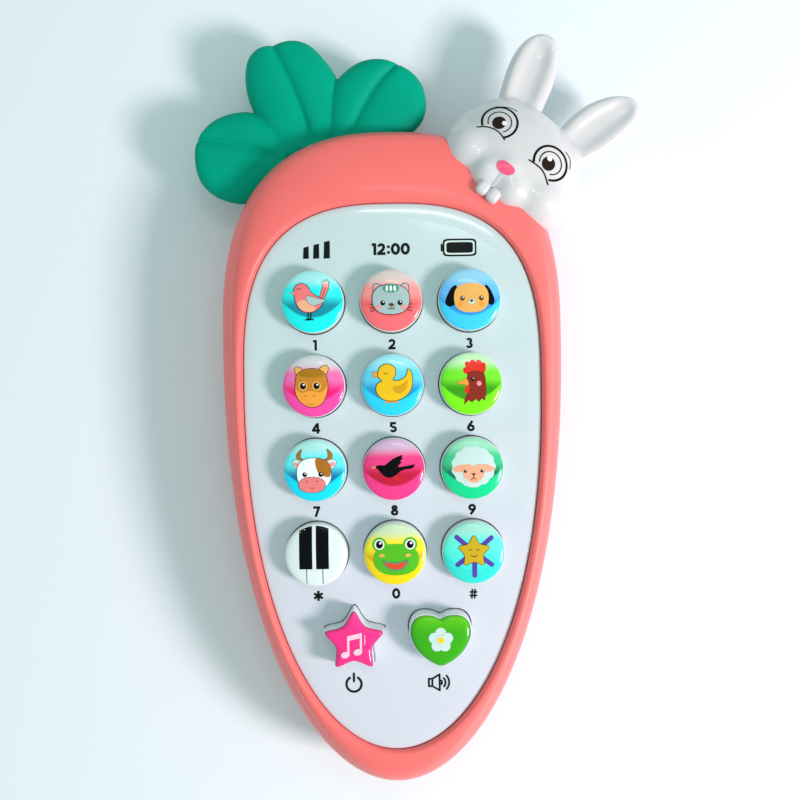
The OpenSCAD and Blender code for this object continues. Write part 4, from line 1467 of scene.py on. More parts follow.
    @classmethod
    def lamb(cls, pic: Print) -> None:
        """A white lamb's face in its wool."""
        wool = [
            (0.2 + (4.95 + 0.14 * math.cos(13 * a)) * math.cos(a), 0.4 + (4.6 + 0.14 * math.cos(13 * a)) * math.sin(a))
            for a in (2 * math.pi * k / 78 for k in range(78))
        ]
        pic.add(wool, Ink.SNOW)
        for side in (-1, 1):
            ear = smooth_loop([(side * 1.6 + 0.2, 0.6), (side * 3.0 + 0.2, 0.8), (side * 4.7 + 0.2, 0.0), (side * 3.9 + 0.2, -0.7), (side * 2.0 + 0.2, -0.6)])
            pic.add(ear, Ink.PEACH, 0.06, Ink.PINK)
        pic.add(smooth_loop([(-2.3, 0.3), (-1.0, 1.0), (0.2, 0.5), (1.4, 1.0), (2.7, 0.3), (2.5, -1.6), (1.2, -3.2), (-0.8, -3.2), (-2.1, -1.6)]), Ink.PEACH)
        pic.add(smooth_loop([(-2.1, -2.0), (-0.9, -3.0), (0.2, -3.3), (1.3, -3.0), (2.5, -2.0), (1.6, -4.0), (0.2, -4.3), (-1.2, -4.0)]), Ink.SNOW)
        for side in (-1, 1):
            pic.eye((side * 1.9 + 0.2, -0.6), 0.36)
        pic.add([(-0.35, -1.1), (0.75, -1.1), (0.2, -1.7)], Ink.DARK_BROWN)
        pic.add(band([(0.2, -1.6), (0.2, -2.1)], 0.14), Ink.DARK_BROWN)
        pic.add(band([(-0.4, -2.6), (0.2, -2.1), (0.8, -2.6)], 0.14), Ink.DARK_BROWN)

    @classmethod
    def piano(cls, pic: Print) -> None:
        """Two black piano keys between white ones."""
        for left, right in ((-3.8, -0.8), (0.05, 2.95)):
            rim = [(right + (left - right) * k / 6, math.sqrt(6.72**2 - (right + (left - right) * k / 6) ** 2)) for k in range(7)]
            pic.add([(left, -3.1), (right, -3.1), *rim], Ink.BLACK)
        for x in (-2.15, 1.55):
            pic.add(band([(x, -3.0), (x, -math.sqrt(6.8**2 - x * x))], 0.15), Ink.BLACK)

    @classmethod
    def frog(cls, pic: Print) -> None:
        """A green frog's face."""
        for side in (-1, 1):
            pic.add(oval((side * 3.5, 2.25), 1.65, 1.65), Ink.FROG)
        pic.add(pillow((0.3, -1.2), 5.2, 3.6, 2.3), Ink.FROG)
        pic.add(smooth_loop([(-3.4, 2.2), (0, 2.3), (3.4, 2.2), (2.6, 0.0), (-2.6, 0.0)]), Ink.FROG)
        for side in (-1, 1):
            pic.add(oval((side * 3.5, 2.25), 1.15, 1.15), Ink.WHITE)
            pic.eye((side * 3.5, 2.25), 0.8)
            pic.add(oval((side * 3.0, -0.2), 0.7, 0.38, count=18), Ink.TAN)
        pic.add(smooth_loop([(-2.7, -1.5), (-1.1, -1.7), (1.3, -1.7), (3.1, -1.3), (2.1, -3.1), (0.2, -3.7), (-1.7, -3.1)]), Ink.STRIPE_GREEN)
        pic.add(smooth_loop([(-2.3, -1.8), (0.2, -2.1), (2.6, -1.7), (1.8, -3.0), (0.2, -3.4), (-1.4, -3.0)]), Ink.MOUTH)

    @classmethod
    def shining_star(cls, pic: Print) -> None:
        """A smiling mustard star on purple rays."""
        for angle, far in ((39, 5.0), (140, 5.2), (217, 4.8), (323, 4.9), (270, 5.4)):
            ray = [(math.cos(math.radians(angle)) * r + 0.1, math.sin(math.radians(angle)) * r + 0.3) for r in (2.0, far)]
            pic.add(band(ray, 1.1, True), Ink.PURPLE)
        star = [
            (
                (4.0 if k % 2 == 0 else 2.1) * math.cos(math.radians(90 + 36 * k)),
                0.3 + (4.0 if k % 2 == 0 else 2.1) * math.sin(math.radians(90 + 36 * k)),
            )
            for k in range(10)
        ]
        pic.add(round_corners(star, 1, 0.18), Ink.MUSTARD, 0.12)
        for side in (-1, 1):
            pic.add(band(arc((side * 0.85, 0.45), 0.42, 20, 160, 8), 0.15), Ink.DARK_BROWN)
        pic.add(band(arc((0, 0.0), 0.8, 205, 335, 9), 0.17), Ink.DARK_BROWN)

    @classmethod
    def note(cls, pic: Print) -> None:
        """Two quavers under one beam."""
        pic.add([(-1.5, 1.5), (1.85, 2.25), (1.85, 1.15), (-1.5, 0.4)], Ink.NOTE_PINK)
        for x, low, high in ((-1.25, -2.7, 1.0), (1.6, -2.1, 1.8)):
            pic.add(band([(x, low), (x, high)], 0.5), Ink.NOTE_PINK)
            pic.add(oval((x - 0.7, low), 1.0, 0.72, 18), Ink.NOTE_PINK)
        pic.add(band([(2.5, -0.4), (2.5, 1.7)], 0.18), Ink.NOTE_PINK)

    @classmethod
    def flower(cls, pic: Print) -> None:
        """A plain five-petalled flower."""
        for k in range(5):
            angle = math.radians(90 + 72 * k)
            pic.add(oval((1.55 * math.cos(angle), 0.2 + 1.55 * math.sin(angle)), 1.25, 1.25, count=24), Ink.SNOW)
        pic.add(oval((0, 0.2), 1.1, 1.1), Ink.SNOW)
        pic.add(oval((0, 0.2), 0.72, 0.72), Ink.YELLOW)


ROUND_KEYS: tuple[tuple[str, Callable[[Print], None]], ...] = (
    ("key_1", Pictures.songbird),
    ("key_2", Pictures.kitten),
    ("key_3", Pictures.puppy),
    ("key_4", Pictures.pony),
    ("key_5", Pictures.duckling),
    ("key_6", Pictures.rooster),
    ("key_7", Pictures.calf),
    ("key_8", Pictures.blackbird),
    ("key_9", Pictures.lamb),
    ("key_asterisk", Pictures.piano),
    ("key_0", Pictures.frog),
    ("key_hash", Pictures.shining_star),
)


@dataclass
class RoundKeys:
    """The twelve round keys: white caps, domed labels and pictures."""

    label_radius: float = 7.05
    foot: float = 26.95
    edge: float = 27.5
    rise: float = 1.15

    def build(self, nodes: dict[str, bpy.types.Object]) -> None:
        """Dress every key.

        Args:
            nodes: The CAD nodes by name; the caps stay and get their finish.
        """
        for (name, picture), centre in zip(ROUND_KEYS, PLAN.round_centres()):
            Bench.dress(nodes[name], KEY_WHITE.make())
            dome = self.dome(name, centre)
            body = f"{name}_press"
            Bench.hand_over(dome, body, f"{name}_label", [f"{name}_label"])
            pic = Print(f"{name}_picture", centre, cell=0.55 if name == "key_asterisk" else 1.1)
            picture(pic)
            Bench.hand_over(pic.build(self.height_over(centre)), body, f"{name}_label")

    def height_over(self, centre: Spot) -> Callable[[float, float], float]:
        """The dome's height at a place, in metres."""

        def height(x: float, y: float) -> float:
            """Height of the dome over one point."""
            off = math.hypot(x / MM - centre[0], y / MM - centre[1]) / self.label_radius
            return (self.edge + self.rise * math.sqrt(max(1 - off * off, 0))) * MM

        return height

    def dome(self, name: str, centre: Spot) -> bpy.types.Object:
        """The label's dome, standing for a clear dome over a printed ground; its colour carries a painted reflection.
        """
        profile = [(0.91, self.foot), (0.91, self.edge), (1.0, self.edge)]
        profile += [
            (math.cos(math.radians(a)), self.edge + self.rise * math.sin(math.radians(a)))
            for a in (5, 11, 18, 25, 32, 40, 48, 56, 64, 72, 80, 87)
        ]
        rings = [
            [Vector((x * MM, y * MM, z * MM)) for x, y in oval(centre, self.label_radius * r, self.label_radius * r, count=96)]
            for r, z in profile
        ]
        dome = Bench.loft(f"{name}_dome", rings)
        colours = LABELS[name]
        # Label colour with painted reflection: pale top, deep smile-shaped band, bright below.
        ink = LabelGroundWithPaintedReflection(
            f"{name}_ground",
            colours.middle,
            0.2,
            coat=0.35,
            grain=0.0001,
            grain_size=1.5,
            specular=0.25,
            coat_roughness=0.1,
            centre=centre,
            radius=self.label_radius,
            pale=colours.pale,
            deep=colours.deep,
            bright=colours.bright,
        )
        Bench.dress(dome, ink.make())
        return Bench.smooth(dome, 40)


@dataclass
class ShapedKey:
    """The star key or the heart key."""

    name: str
    centre: Spot
    outline: Callable[[float], list[Spot]]
    tint: Colour
    # Paler colour towards the top of the face: painted reflection.
    light: Colour
    picture: Callable[[Print], None]
    low: float = 19.1
    top: float = 29.0

    def ring(self, grow: float, height: float) -> Ring:
        """The key's outline at a height."""
        return [
            Vector(((self.centre[0] + x) * MM, (self.centre[1] + y) * MM, height * MM)) for x, y in self.outline(grow)
        ]

    def build(self) -> None:
        """Make the cap, its coloured label and the picture."""
        body = f"{self.name}_press"
        cap = Bench.loft(
            f"{self.name}_cap",
            [
                self.ring(1, self.low),
                self.ring(1, 20.3),
                self.ring(0, 20.3),
                *fair([self.ring(0, 28.6), self.ring(-0.04, 28.85), self.ring(-0.16, self.top), self.ring(-0.3, 28.95)], 3),
                self.ring(-0.35, 28.6),
                self.ring(-0.35, 28.4),
            ],
        )
        Bench.dress(cap, KEY_WHITE.make())
        Bench.hand_over(Bench.smooth(cap, 35), body, "white_plastic", [self.name])
        label = Bench.loft(
            f"{self.name}_face",
            [self.ring(-0.4, 28.4)]
            + fair([self.ring(-0.4, 29.0), self.ring(-0.55, 29.4), self.ring(-1.2, 29.74), self.ring(-2.5, 29.92), self.ring(-4.2, 30)], 3),
        )
        # The face runs from the key's own tint to the paler top colour, a painted reflection.
        ground = RunningColour(
            f"{self.name}_ground", self.tint, 0.2, coat=0.35, grain=0.0001, grain_size=1.5, specular=0.25, coat_roughness=0.1, other=self.light,
            start=self.centre[1] + 1, end=self.centre[1] + 8,
        )
        Bench.dress(label, ground.make())
        Bench.hand_over(Bench.smooth(label, 40), body, f"{self.name}_label", [f"{self.name}_label"])
        pic = Print(f"{self.name}_picture", self.centre, cell=0.5, step=0.02)
        self.picture(pic)
        Bench.hand_over(pic.build(drape(label)), body, f"{self.name}_label")


# ---------------------------------------------------------------- leaves and rabbit


Row = tuple[Spot, ...]

LOBES: tuple[tuple[Row, ...], ...] = (
    (
        ((-27, 64.5), (-25, 71), (-24.5, 77)), ((-31, 62.5), (-30, 73.7), (-30, 82)), ((-35.4, 61.9), (-34.5, 75.3), (-33.4, 84.1)),
        ((-38.9, 62.3), (-38.3, 76.1), (-36.4, 84.2)), ((-42.4, 63.7), (-41.3, 76.5), (-39.3, 83.6)), ((-45.3, 66.1), (-43.4, 76.8), (-42, 82.4)),
        ((-46.8, 69), (-44.8, 77), (-43.9, 80.8)), ((-47.3, 72.2), (-45.7, 77.1), (-45.2, 79)), ((-47.2, 74.6), (-46.2, 77), (-46, 77.6)),
        ((-46.9, 75.6), (-46.6, 76.2), (-46.5, 76.6)),
    ),
    (
        ((-27.5, 74), (-18.5, 74.5), (-12.5, 75)), ((-30, 78.6), (-19.6, 79.2), (-12.6, 80)), ((-32.2, 82.6), (-21.2, 84.3), (-12.3, 85.6)),
        ((-34, 86.8), (-22.9, 88.6), (-12, 90.2)), ((-34.8, 90.7), (-24.5, 92.3), (-13.2, 93.6)), ((-34.8, 94), (-25.9, 95.3), (-15.4, 96.7)),
        ((-34.1, 96.9), (-26.9, 97.5), (-18, 99.5)), ((-32.3, 98.9), (-27.5, 98.9), (-20.4, 100.9)), ((-30.2, 99.6), (-27.8, 99.6), (-23.2, 101.3)),
        ((-28.4, 99.9), (-27.9, 100), (-26.4, 100.7)),
    ),
    (
        ((-15, 75.5), (-9.8, 75.5), (0, 74.5)), ((-15.3, 80.2), (-8.7, 79.6), (3.5, 77.6)), ((-15, 85.6), (-7, 83.2), (6.6, 79.5)),
        ((-13.9, 90), (-5, 86.7), (8.4, 81.8)), ((-11.9, 92.3), (-3.1, 89.5), (9.2, 84.6)), ((-9.6, 94.4), (-1.3, 91.6), (9.1, 87.4)),
        ((-6.9, 95.9), (0.3, 93), (8.3, 90.1)), ((-3.9, 96.5), (1.5, 94), (6.8, 92.2)), ((-1, 96.3), (2.3, 94.6), (5.1, 93.5)),
        ((1.6, 95.4), (2.7, 94.9), (3.6, 94.4)),
    ),
)
LOBE_THICK = (1, 1, 1, 1, 1, 1, 0.97, 0.88, 0.66, 0.3)
LOBE_DIP = (0, 1, 1, 1, 1, 1, 1, 1, 0.9, 0)
EARS: tuple[tuple[Row, ...], ...] = (
    (
        ((-10.5, 4), (-2.5, 6)), ((-12.7, 9), (-1.9, 11.2)), ((-14.1, 12.6), (-2.4, 14)), ((-15.3, 16.3), (-3.3, 17.8)),
        ((-15.9, 20.2), (-4.7, 21.2)), ((-15.5, 23.3), (-6.4, 24.1)), ((-14.4, 25.4), (-8, 26.1)), ((-13.1, 26.6), (-9.2, 27.1)),
        ((-12, 27.2), (-10.3, 27.5)),
    ),
    (
        ((4, 6.5), (13.5, 3.5)), ((4.1, 10.8), (14.9, 8.6)), ((4.4, 15), (16.6, 12.6)), ((5.7, 19.5), (17.7, 17)),
        ((8.1, 23.4), (18.2, 20.8)), ((9.8, 25.1), (17.9, 24)), ((11.6, 26.3), (17.1, 25.7)), ((13, 27), (16.1, 26.8)),
        ((14.3, 27.3), (15.3, 27.3)),
    ),
)
EAR_THICK = (1, 1, 1, 1, 1, 0.97, 0.85, 0.6, 0.28)
EAR_DIP = (0, 0.75, 1, 1, 1, 0.75, 0.1, 0, 0)
HEAD_PLAN: tuple[Spot, ...] = (
    (18.2, -5.5), (18, -3.4), (17.1, -0.2), (15.8, 2.7), (13.6, 6), (10.6, 8.6), (7.2, 10.1), (4.1, 10.8), (1.2, 11.1),
    (-1.8, 11.1), (-5.5, 10.5), (-9.2, 9.4), (-12, 7.8), (-14.2, 5), (-16.1, 1.8), (-17.2, -1.6), (-17.6, -4.8), (-17.3, -7.5),
    (-16.2, -10.8), (-13.4, -14), (-9, -16.4), (-3, -17.4), (3, -17.6), (9, -16.6), (13.4, -14.4), (16.4, -11.2), (17.8, -8.4),
)


@dataclass(frozen=True)
class Puffed:
    """A cushion-like form through rows of edge, middle and edge, with a crease or a dish in its front."""

    rows: tuple[Row, ...]
    thick: tuple[float, ...]
    along: tuple[float, ...]
    middle: float
    front: float
    back: float
    dip: float
    dip_width: float
    dip_power: float
    fine: int = 4

    def build(self, name: str, place: Callable[[float, float], Spot]) -> bpy.types.Object:
        """Loft the form.

        Args:
            name: Name of the piece.
            place: Turns the rows' places into the frame's.

        Returns:
            The closed form.
        """
        steps = (0.04, 0.09, 0.15, 0.23, 0.33, 0.45, 0.58, 0.7, 0.81, 0.9, 0.96, 0.99)
        top = [-1.0, *(-s for s in reversed(steps)), 0.0, *steps, 1.0]
        rings = []
        last = len(self.rows) - 1
        for index in range(last * self.fine + 1):
            at = index / self.fine
            row = [self.between([r[k] for r in map(self.full, self.rows)], at) for k in range(3)]
            thick = self.between([(t,) for t in self.thick], at)[0]
            dip = self.dip * min(max(self.between([(t,) for t in self.along], at)[0], 0), 1)
            ring = []
            for side, sign in [(s, 1) for s in top] + [(s, -1) for s in top[-2:0:-1]]:
                edge = row[0] if side < 0 else row[2]
                x, y = (row[1][k] + (edge[k] - row[1][k]) * abs(side) for k in (0, 1))
                arch = max(1 - abs(side) ** 3.2, 0) ** (1 / 2.2)
                if sign > 0:
                    z = self.front * arch - dip * math.exp(-((abs(side) / self.dip_width) ** self.dip_power))
                else:
                    z = -self.back * arch
                px, py = place(x, y)
                ring.append(Vector((px * MM, py * MM, (self.middle + z * thick) * MM)))
            rings.append(ring)
        return Bench.loft(name, rings)

    @staticmethod
    def full(row: Row) -> Row:
        """The row with its middle point."""
        if len(row) == 3:
            return row
        return (row[0], tuple((a + b) / 2 for a, b in zip(*row)), row[1])

    @staticmethod
    def between(values: Sequence[Sequence[float]], at: float) -> tuple[float, ...]:
        """A smooth value between the numbered ones."""
        last = len(values) - 1
        index = min(int(at), last - 1)
        group = [values[max(index - 1, 0)], values[index], values[index + 1], values[min(index + 2, last)]]
        return tuple(catmull(*(g[k] for g in group), at - index) for k in range(len(values[0])))


@dataclass
class LeafTeether:
    """The soft green leaves."""

    grain: float = 0.3
    middle: float = 12.4
    fill: tuple[Spot, ...] = ((-25.4, 73.4), (-23.2, 74.0), (-21, 74.4))
    roots: tuple[Spot, ...] = ((-29, 71.5), (-27, 76), (-23, 78.5), (-18, 80), (-14, 81), (-10, 80.5), (-5, 79), (0, 79))

    def build(self) -> None:
        """Make the teether as one fused soft piece."""
        parts = [
            Puffed(rows, LOBE_THICK, LOBE_DIP, self.middle, 4.1, 3.7, 1.3, 0.13, 1.2).build("lobe", lambda x, y: (x, y))
            for rows in LOBES
        ]
        parts += [Bench.egg((x, y, self.middle), (4, 4, 3.2)) for x, y in self.roots]
        parts += [Bench.egg((x, y, self.middle), (3, 3, 3.9)) for x, y in self.fill]
        parts.append(Bench.block((-24.5, 62.5, 10.4), (-7.9, 74, 14.8), 0.6))
        leaf = Bench.join("leaf_skin", parts)
        leaf.data.remesh_voxel_size = self.grain * MM
        Bench.pick(leaf)
        bpy.ops.object.voxel_remesh()
        Bench.modify(leaf, "SMOOTH", factor=0.5, iterations=3)
        Bench.dress(leaf, LEAF.make())
        Bench.pick(leaf)
        bpy.ops.object.shade_smooth()
        Bench.hand_over(leaf, "case", "leaf_rubber", ["leaf_teether"])


@dataclass(frozen=True)
class RabbitEye:
    """One printed eye: two open rings over a cheek line, the pupil and a brow."""

    centre: Spot
    start: float
    end: float
    pupil: Spot
    light: Spot
    cheek: tuple[Spot, ...]
    brow: tuple[Spot, ...]

    def draw(self, face: Print) -> None:
        """Add the eye to the face print."""
        x, y = self.centre
        for half_x, half_y, width, trim in ((4.15, 3.95, 0.54, 0), (2.75, 2.6, 0.27, 2)):
            path = [
                (x + half_x * math.cos(math.radians(a)), y + half_y * math.sin(math.radians(a)))
                for a in (self.start + trim + (self.end - self.start - 2 * trim) * k / 44 for k in range(45))
            ]
            face.add(band(path, width), Ink.BLACK)
        face.add(oval(self.pupil, 1.6, 1.65), Ink.PUPIL)
        face.add(oval(self.light, 0.62, 0.58, count=16), Ink.WHITE)
        for path, width in ((self.cheek, 0.32), (self.brow, 0.17)):
            face.add(band(open_curve(path), width), Ink.BLACK)


@dataclass
class RabbitHead:
    """The white rabbit head: two shells, ears, teeth and a printed face."""

    at: Spot = (31.5, 72.4)
    turn: float = -38.0
    middle: float = 14.0
    parting: float = 12.5
    grain: float = 0.34
    heart: Spot = (0.3, -5.0)
    reach: float = 12.0
    eyes: tuple[RabbitEye, ...] = (
        RabbitEye(
            (-7.6, 0.6), -44, 229, (-7.6, 0.3), (-6.5, 0.9),
            ((-11.2, -3.5), (-9.8, -2.4), (-7.7, -1.7), (-5.8, -1.8), (-4.0, -2.5)),
            ((-10.7, 3.6), (-7.8, 5.2), (-5.8, 5.4)),
        ),
        RabbitEye(
            (7.6, 0.0), -62, 219, (7.3, -0.5), (6.8, 0.6),
            ((3.1, -2.8), (4.2, -2.7), (6.3, -2.6), (8.1, -3.1), (10.2, -4.6)),
            ((8.8, 4.9), (10.7, 4.3), (12.0, 2.4)),
        ),
    )

    def place(self, right: float, up: float) -> Spot:
        """Turn a place on the head into the frame's millimetres."""
        cosine, sine = math.cos(math.radians(self.turn)), math.sin(math.radians(self.turn))
        return (self.at[0] + right * cosine - up * sine, self.at[1] + right * sine + up * cosine)

    def lump(self, right: float, up: float, z: float, half: Sequence[float], turn: float = 0) -> bpy.types.Object:
        """An egg-shaped lump of the head."""
        x, y = self.place(right, up)
        return Bench.egg((x, y, z), half, self.turn + turn)

    def build(self) -> None:
        """Make the head, part it and print the face."""
        head = self.skin()
        printed = self.face_print().build(drape(head))
        back = self.half(head, keep_front=False)
        front = self.half(head, keep_front=True)
        for piece, name, node in ((front, "rabbit_front", "bunny_face"), (back, "rabbit_back", "bunny_back")):
            piece.name = name
            Bench.dress(piece, RABBIT.make())
            Bench.smooth(piece, 50)
            Bench.hand_over(piece, "case", "white_plastic", [node])
        bpy.data.objects.remove(head, do_unlink=True)
        Bench.hand_over(printed, "case", "white_plastic")
        self.teeth()

    def dome(self) -> bpy.types.Object:
        """The plain rounded head."""
        plan = smooth_loop(HEAD_PLAN, 3)
        rings = []
        for angle in range(-84, 85, 7):
            share = math.cos(math.radians(angle)) ** 0.85
            height = self.middle + self.reach * math.sin(math.radians(angle))
            ring = []
            for x, y in plan:
                px, py = self.place(self.heart[0] + (x - self.heart[0]) * share, self.heart[1] + (y - self.heart[1]) * share)
                ring.append(Vector((px * MM, py * MM, height * MM)))
            rings.append(ring)
        return Bench.loft("dome", rings)

    def skin(self) -> bpy.types.Object:
        """The whole head with its ears as one smooth skin."""
        parts = [
            self.dome(),
            self.lump(-9.0, -7.9, 16.8, (8.3, 7.6, 9.0)),
            self.lump(10.2, -7.6, 16.8, (8.1, 7.7, 9.1)),
            self.lump(-2.9, -10.0, 19.6, (5.3, 5.5, 7.8)),
            self.lump(3.9, -10.0, 19.6, (5.5, 5.6, 7.8)),
            self.lump(0.4, -7.2, 19.0, (6.4, 5.4, 8.4)),
            self.lump(-7, 6.5, 13.8, (5, 4, 5.4)),
            self.lump(9, 6, 13.8, (4.8, 4, 5.4)),
        ]
        parts += [Puffed(rows, EAR_THICK, EAR_DIP, 13.6, 4.2, 4.2, 2.0, 0.58, 3).build("ear", self.place) for rows in EARS]
        head = Bench.join("rabbit_head", parts)
        head.data.remesh_voxel_size = self.grain * MM
        Bench.pick(head)
        bpy.ops.object.voxel_remesh()
        Bench.modify(head, "SMOOTH", factor=0.5, iterations=16)
        self.soften(head)
        Bench.pick(head)
        bpy.ops.object.shade_smooth()
        return head

    def soften(self, head: bpy.types.Object) -> None:
        """Melt the cheeks and the muzzle into one soft face and leave the ears as they are."""
        group = head.vertex_groups.new(name="face")
        cosine, sine = math.cos(math.radians(self.turn)), math.sin(math.radians(self.turn))
        for vert in head.data.vertices:
            x, y = vert.co.x / MM - self.at[0], vert.co.y / MM - self.at[1]
            low = min(max((5 + x * sine - y * cosine) / 4, 0), 1)
            front = min(max((vert.co.z / MM - 15) / 3, 0), 1)
            group.add([vert.index], low * front, "REPLACE")
        Bench.modify(head, "SMOOTH", factor=0.5, iterations=110, vertex_group=group.name)

    def half(self, head: bpy.types.Object, keep_front: bool) -> bpy.types.Object:
        """Cut the head at the parting plane and keep one side."""
        Bench.pick(head)
        bpy.ops.object.duplicate()
        piece = bpy.context.object
        bpy.ops.object.mode_set(mode="EDIT")
        bpy.ops.mesh.select_all(action="SELECT")
        bpy.ops.mesh.bisect(
            plane_co=(0, 0, self.parting * MM),
            plane_no=(0, 0, 1),
            use_fill=True,
            clear_inner=keep_front,
            clear_outer=not keep_front,
        )
        bpy.ops.object.mode_set(mode="OBJECT")
        return piece

    def face_print(self) -> Print:
        """The printed eyes and nose, and a grey mouth line that is painted shade in the crease under the nose."""
        face = Print("rabbit_face_print", self.at, self.turn, cell=0.9)
        for eye in self.eyes:
            eye.draw(face)
        nose = [(-2.2, -7.7), (-1.3, -6.7), (0.2, -6.6), (1.8, -6.8), (2.35, -7.6), (1.6, -8.8), (0.1, -9.3), (-1.5, -9.0)]
        face.add(smooth_loop(nose, 4), Ink.NOSE)
        # Grey line from the nose down: painted shade of the crease there.
        face.add(band([(0, -9.3), (-0.1, -12.4)], 0.13), Ink.GREY_BLUE)
        return face

    def teeth(self) -> None:
        """The two front teeth over the case's shoulder."""
        parts = []
        for right, up in ((-1.45, -14.2), (1.6, -14.3)):
            tooth = Bench.block((-1.5, -1.8, 23.4), (1.5, 1.8, 26.7), 1.15)
            tooth.rotation_euler = (0, 0, math.radians(self.turn))
            x, y = self.place(right, up)
            tooth.location = (x * MM, y * MM, 0)
            Bench.settle(tooth)
            parts.append(tooth)
        teeth = Bench.join("rabbit_teeth", parts)
        teeth.data.remesh_voxel_size = 0.12 * MM
        Bench.pick(teeth)
        bpy.ops.object.voxel_remesh()
        Bench.modify(teeth, "SMOOTH", factor=0.5, iterations=12)
        Bench.dress(teeth, RABBIT.make())
        Bench.pick(teeth)
        bpy.ops.object.shade_smooth()
        Bench.hand_over(teeth, "case", "white_plastic")


# ---------------------------------------------------------------- back and insides


@dataclass
class BatteryDoor:
    """The battery door with its grip ribs."""

    low: tuple[float, float, float] = (-14.4, -49.0, 0.3)
    high: tuple[float, float, float] = (14.4, 19.0, 1.9)
    screws: tuple[Spot, ...] = ((0, -45.2), (0, 15.2))

    def build(self) -> None:
        """Make the door."""
        door = Bench.block(self.low, self.high, 0.3)
        for at in self.screws:
            Bench.carve(door, [Bench.rod(at, 1.35, -1, 4), Bench.rod(at, 2.5, -1, 1)])
        grooves = [Bench.block((-7, -20.5 + 1.8 * k, -0.5), (7, -19.6 + 1.8 * k, 0.7)) for k in range(7)]
        Bench.carve(door, grooves)
        door.name = "door_skin"
        Bench.dress(door, CORAL.make())
        Bench.smooth(door, 30)
        Bench.hand_over(door, "door", "coral_plastic", ["battery_door"])


class Insides:
    """Finishes of the pieces inside, whose CAD shapes stay."""

    FINISHES: dict[str, Finish] = {
        "keypad_membrane": Finish("silicone_mat", shade(200, 200, 194), 0.55, mottle=0.04, grain=0.004),
        "carbon_pills": Finish("carbon_rubber", shade(22, 22, 24), 0.7, grain=0.004),
        "main_board": Finish("board_green", shade(24, 98, 50), 0.4, mottle=0.12, grain=0.003),
        "contact_pads": Finish("plated_pads", shade(226, 186, 96), 0.3, metallic=1.0),
        "sound_chip": Finish("chip_resin", shade(16, 16, 18), 0.3, grain=0.01),
        "speaker_frame": Finish("stamped_steel", shade(170, 172, 176), 0.35, metallic=1.0),
        "speaker_magnet": Finish("sintered_magnet", shade(52, 52, 54), 0.5, metallic=0.6, grain=0.01),
        "speaker_cone": Finish("cone_film", shade(28, 28, 30), 0.45, grain=0.004),
        "battery_1": Finish("battery_jacket", shade(60, 74, 98), 0.3, metallic=0.5, mottle=0.1),
        "battery_2": Finish("battery_jacket", shade(60, 74, 98), 0.3, metallic=0.5, mottle=0.1),
        "battery_springs": Finish("spring_steel", shade(206, 206, 208), 0.25, metallic=1.0),
        "battery_contacts": Finish("spring_steel", shade(206, 206, 208), 0.25, metallic=1.0),
        "battery_wires": Finish("wire_red", shade(186, 24, 24), 0.45),
        "speaker_wires": Finish("wire_red", shade(186, 24, 24), 0.45),
    }
    SCREW = Finish("zinc_steel", shade(168, 170, 174), 0.32, metallic=1.0, mottle=0.08, grain=0.006)

    def build(self, nodes: dict[str, bpy.types.Object]) -> None:
        """Give every inner piece its finish.

        Args:
            nodes: The CAD nodes by name.
        """
        for name, finish in self.FINISHES.items():
            Bench.dress(nodes[name], finish.make())
        for name in ("door_screws", "case_screws", "board_screws", "bunny_screws"):
            Bench.dress(nodes[name], self.SCREW.make())


# ---------------------------------------------------------------- studio


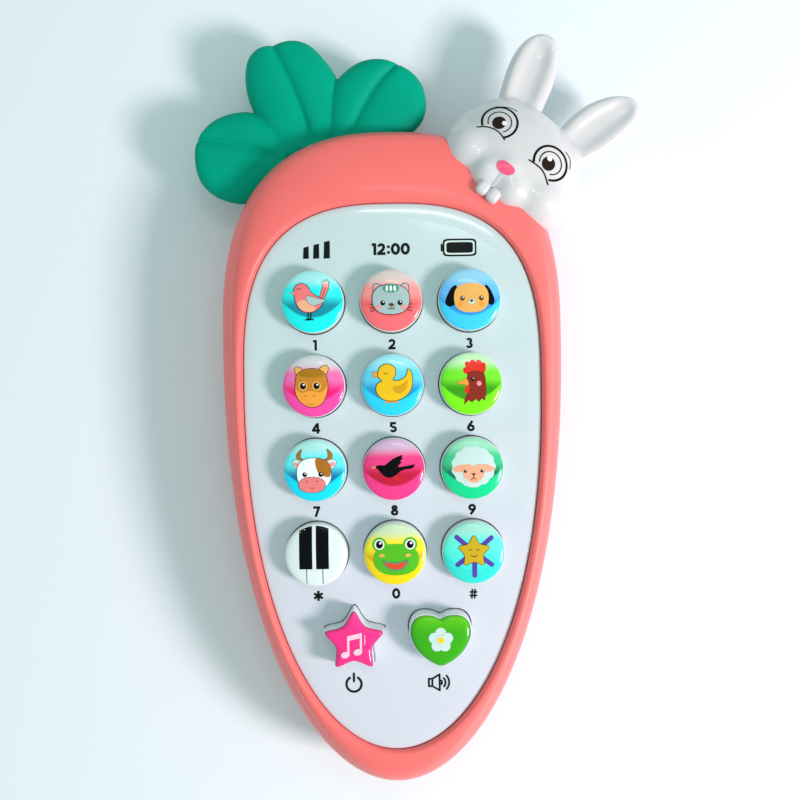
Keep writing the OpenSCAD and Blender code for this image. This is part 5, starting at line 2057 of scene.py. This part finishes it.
@dataclass
class Studio:
    """Floor, lamps and camera."""

    camera_height: float = 240.0
    camera_foot: Spot = (1.7, 13.4)
    camera_turn: float = -0.9
    lens: float = 41.85
    floor_tint: Colour = shade(236, 240, 248)

    def build(self) -> None:
        """Set up the whole studio."""
        self.floor()
        self.lamps()
        self.camera()

    def floor(self) -> None:
        """A plain pale floor."""
        Bench.clear()
        bpy.ops.mesh.primitive_plane_add(size=6, location=(0, 0, -0.02 * MM))
        floor = bpy.context.object
        floor.name = "studio_floor"
        material = bpy.data.materials.new("studio_floor")
        material.use_nodes = True
        shader = material.node_tree.nodes["Principled BSDF"]
        shader.inputs["Base Color"].default_value = (*self.floor_tint, 1)
        shader.inputs["Roughness"].default_value = 0.9
        Bench.dress(floor, material)

    def lamps(self) -> None:
        """Soft daylight, a window lamp at the lower right and a weak one above."""
        world = bpy.data.worlds.new("daylight")
        bpy.context.scene.world = world
        world.use_nodes = True
        sky = world.node_tree.nodes["Background"]
        sky.inputs["Color"].default_value = (0.71, 0.95, 0.90, 1)
        sky.inputs["Strength"].default_value = 0.67
        self.lamp("window", (0.44, -0.16, 0.38), 3.2, (0.13, 0.13), (1.0, 0.88, 0.89))
        self.lamp("strip", (0.04, 0.19, 0.42), 0.09, (0.14, 0.014), (1.0, 1.0, 1.0))
        self.lamp("short_strip", (0.04, 0.124, 0.42), 0.008, (0.07, 0.006), (1.0, 1.0, 1.0))

    def lamp(self, name: str, at: Sequence[float], watts: float, size: Spot, tint: Colour) -> None:
        """One oblong lamp that looks at the phone.

        Args:
            name: Its name.
            at: Its place in metres.
            watts: Its power.
            size: Its sides in metres.
            tint: Its colour.
        """
        Bench.clear()
        bpy.ops.object.light_add(type="AREA", location=at)
        lamp = bpy.context.object
        lamp.name = name
        lamp.data.energy = watts
        lamp.data.shape = "RECTANGLE"
        lamp.data.size, lamp.data.size_y = size
        lamp.data.color = tint
        lamp.rotation_mode = "QUATERNION"
        lamp.rotation_quaternion = (Vector((0, 0.01, 0.015)) - Vector(at)).to_track_quat("-Z", "Y")

    def camera(self) -> None:
        """The camera straight above the phone."""
        Bench.clear()
        bpy.ops.object.camera_add(
            location=(self.camera_foot[0] * MM, self.camera_foot[1] * MM, self.camera_height * MM),
            rotation=(0, 0, math.radians(self.camera_turn)),
        )
        camera = bpy.context.object
        camera.data.lens = self.lens
        camera.data.sensor_width = 36
        camera.data.clip_start = 0.01
        bpy.context.scene.camera = camera


def main() -> None:
    """Build every piece of the phone in order."""
    logging.basicConfig(level=logging.INFO, format="%(name)s: %(message)s")
    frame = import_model()
    nodes = frame["nodes"]
    bpy.context.scene.view_settings.view_transform = "Standard"
    Studio().build()
    Case().build()
    FacePanel().build()
    RoundKeys().build(nodes)
    # The second colour of each shaped key is the paler top of its face, a painted reflection.
    ShapedKey(
        "star_key", PLAN.star, star_outline, shade(255, 44, 138), shade(255, 60, 150), Pictures.note
    ).build()
    ShapedKey(
        "heart_key", PLAN.heart, heart_outline, shade(56, 172, 0), shade(112, 214, 10), Pictures.flower
    ).build()
    LeafTeether().build()
    RabbitHead().build()
    BatteryDoor().build()
    Insides().build(nodes)


if __name__ == "__main__":
    main()
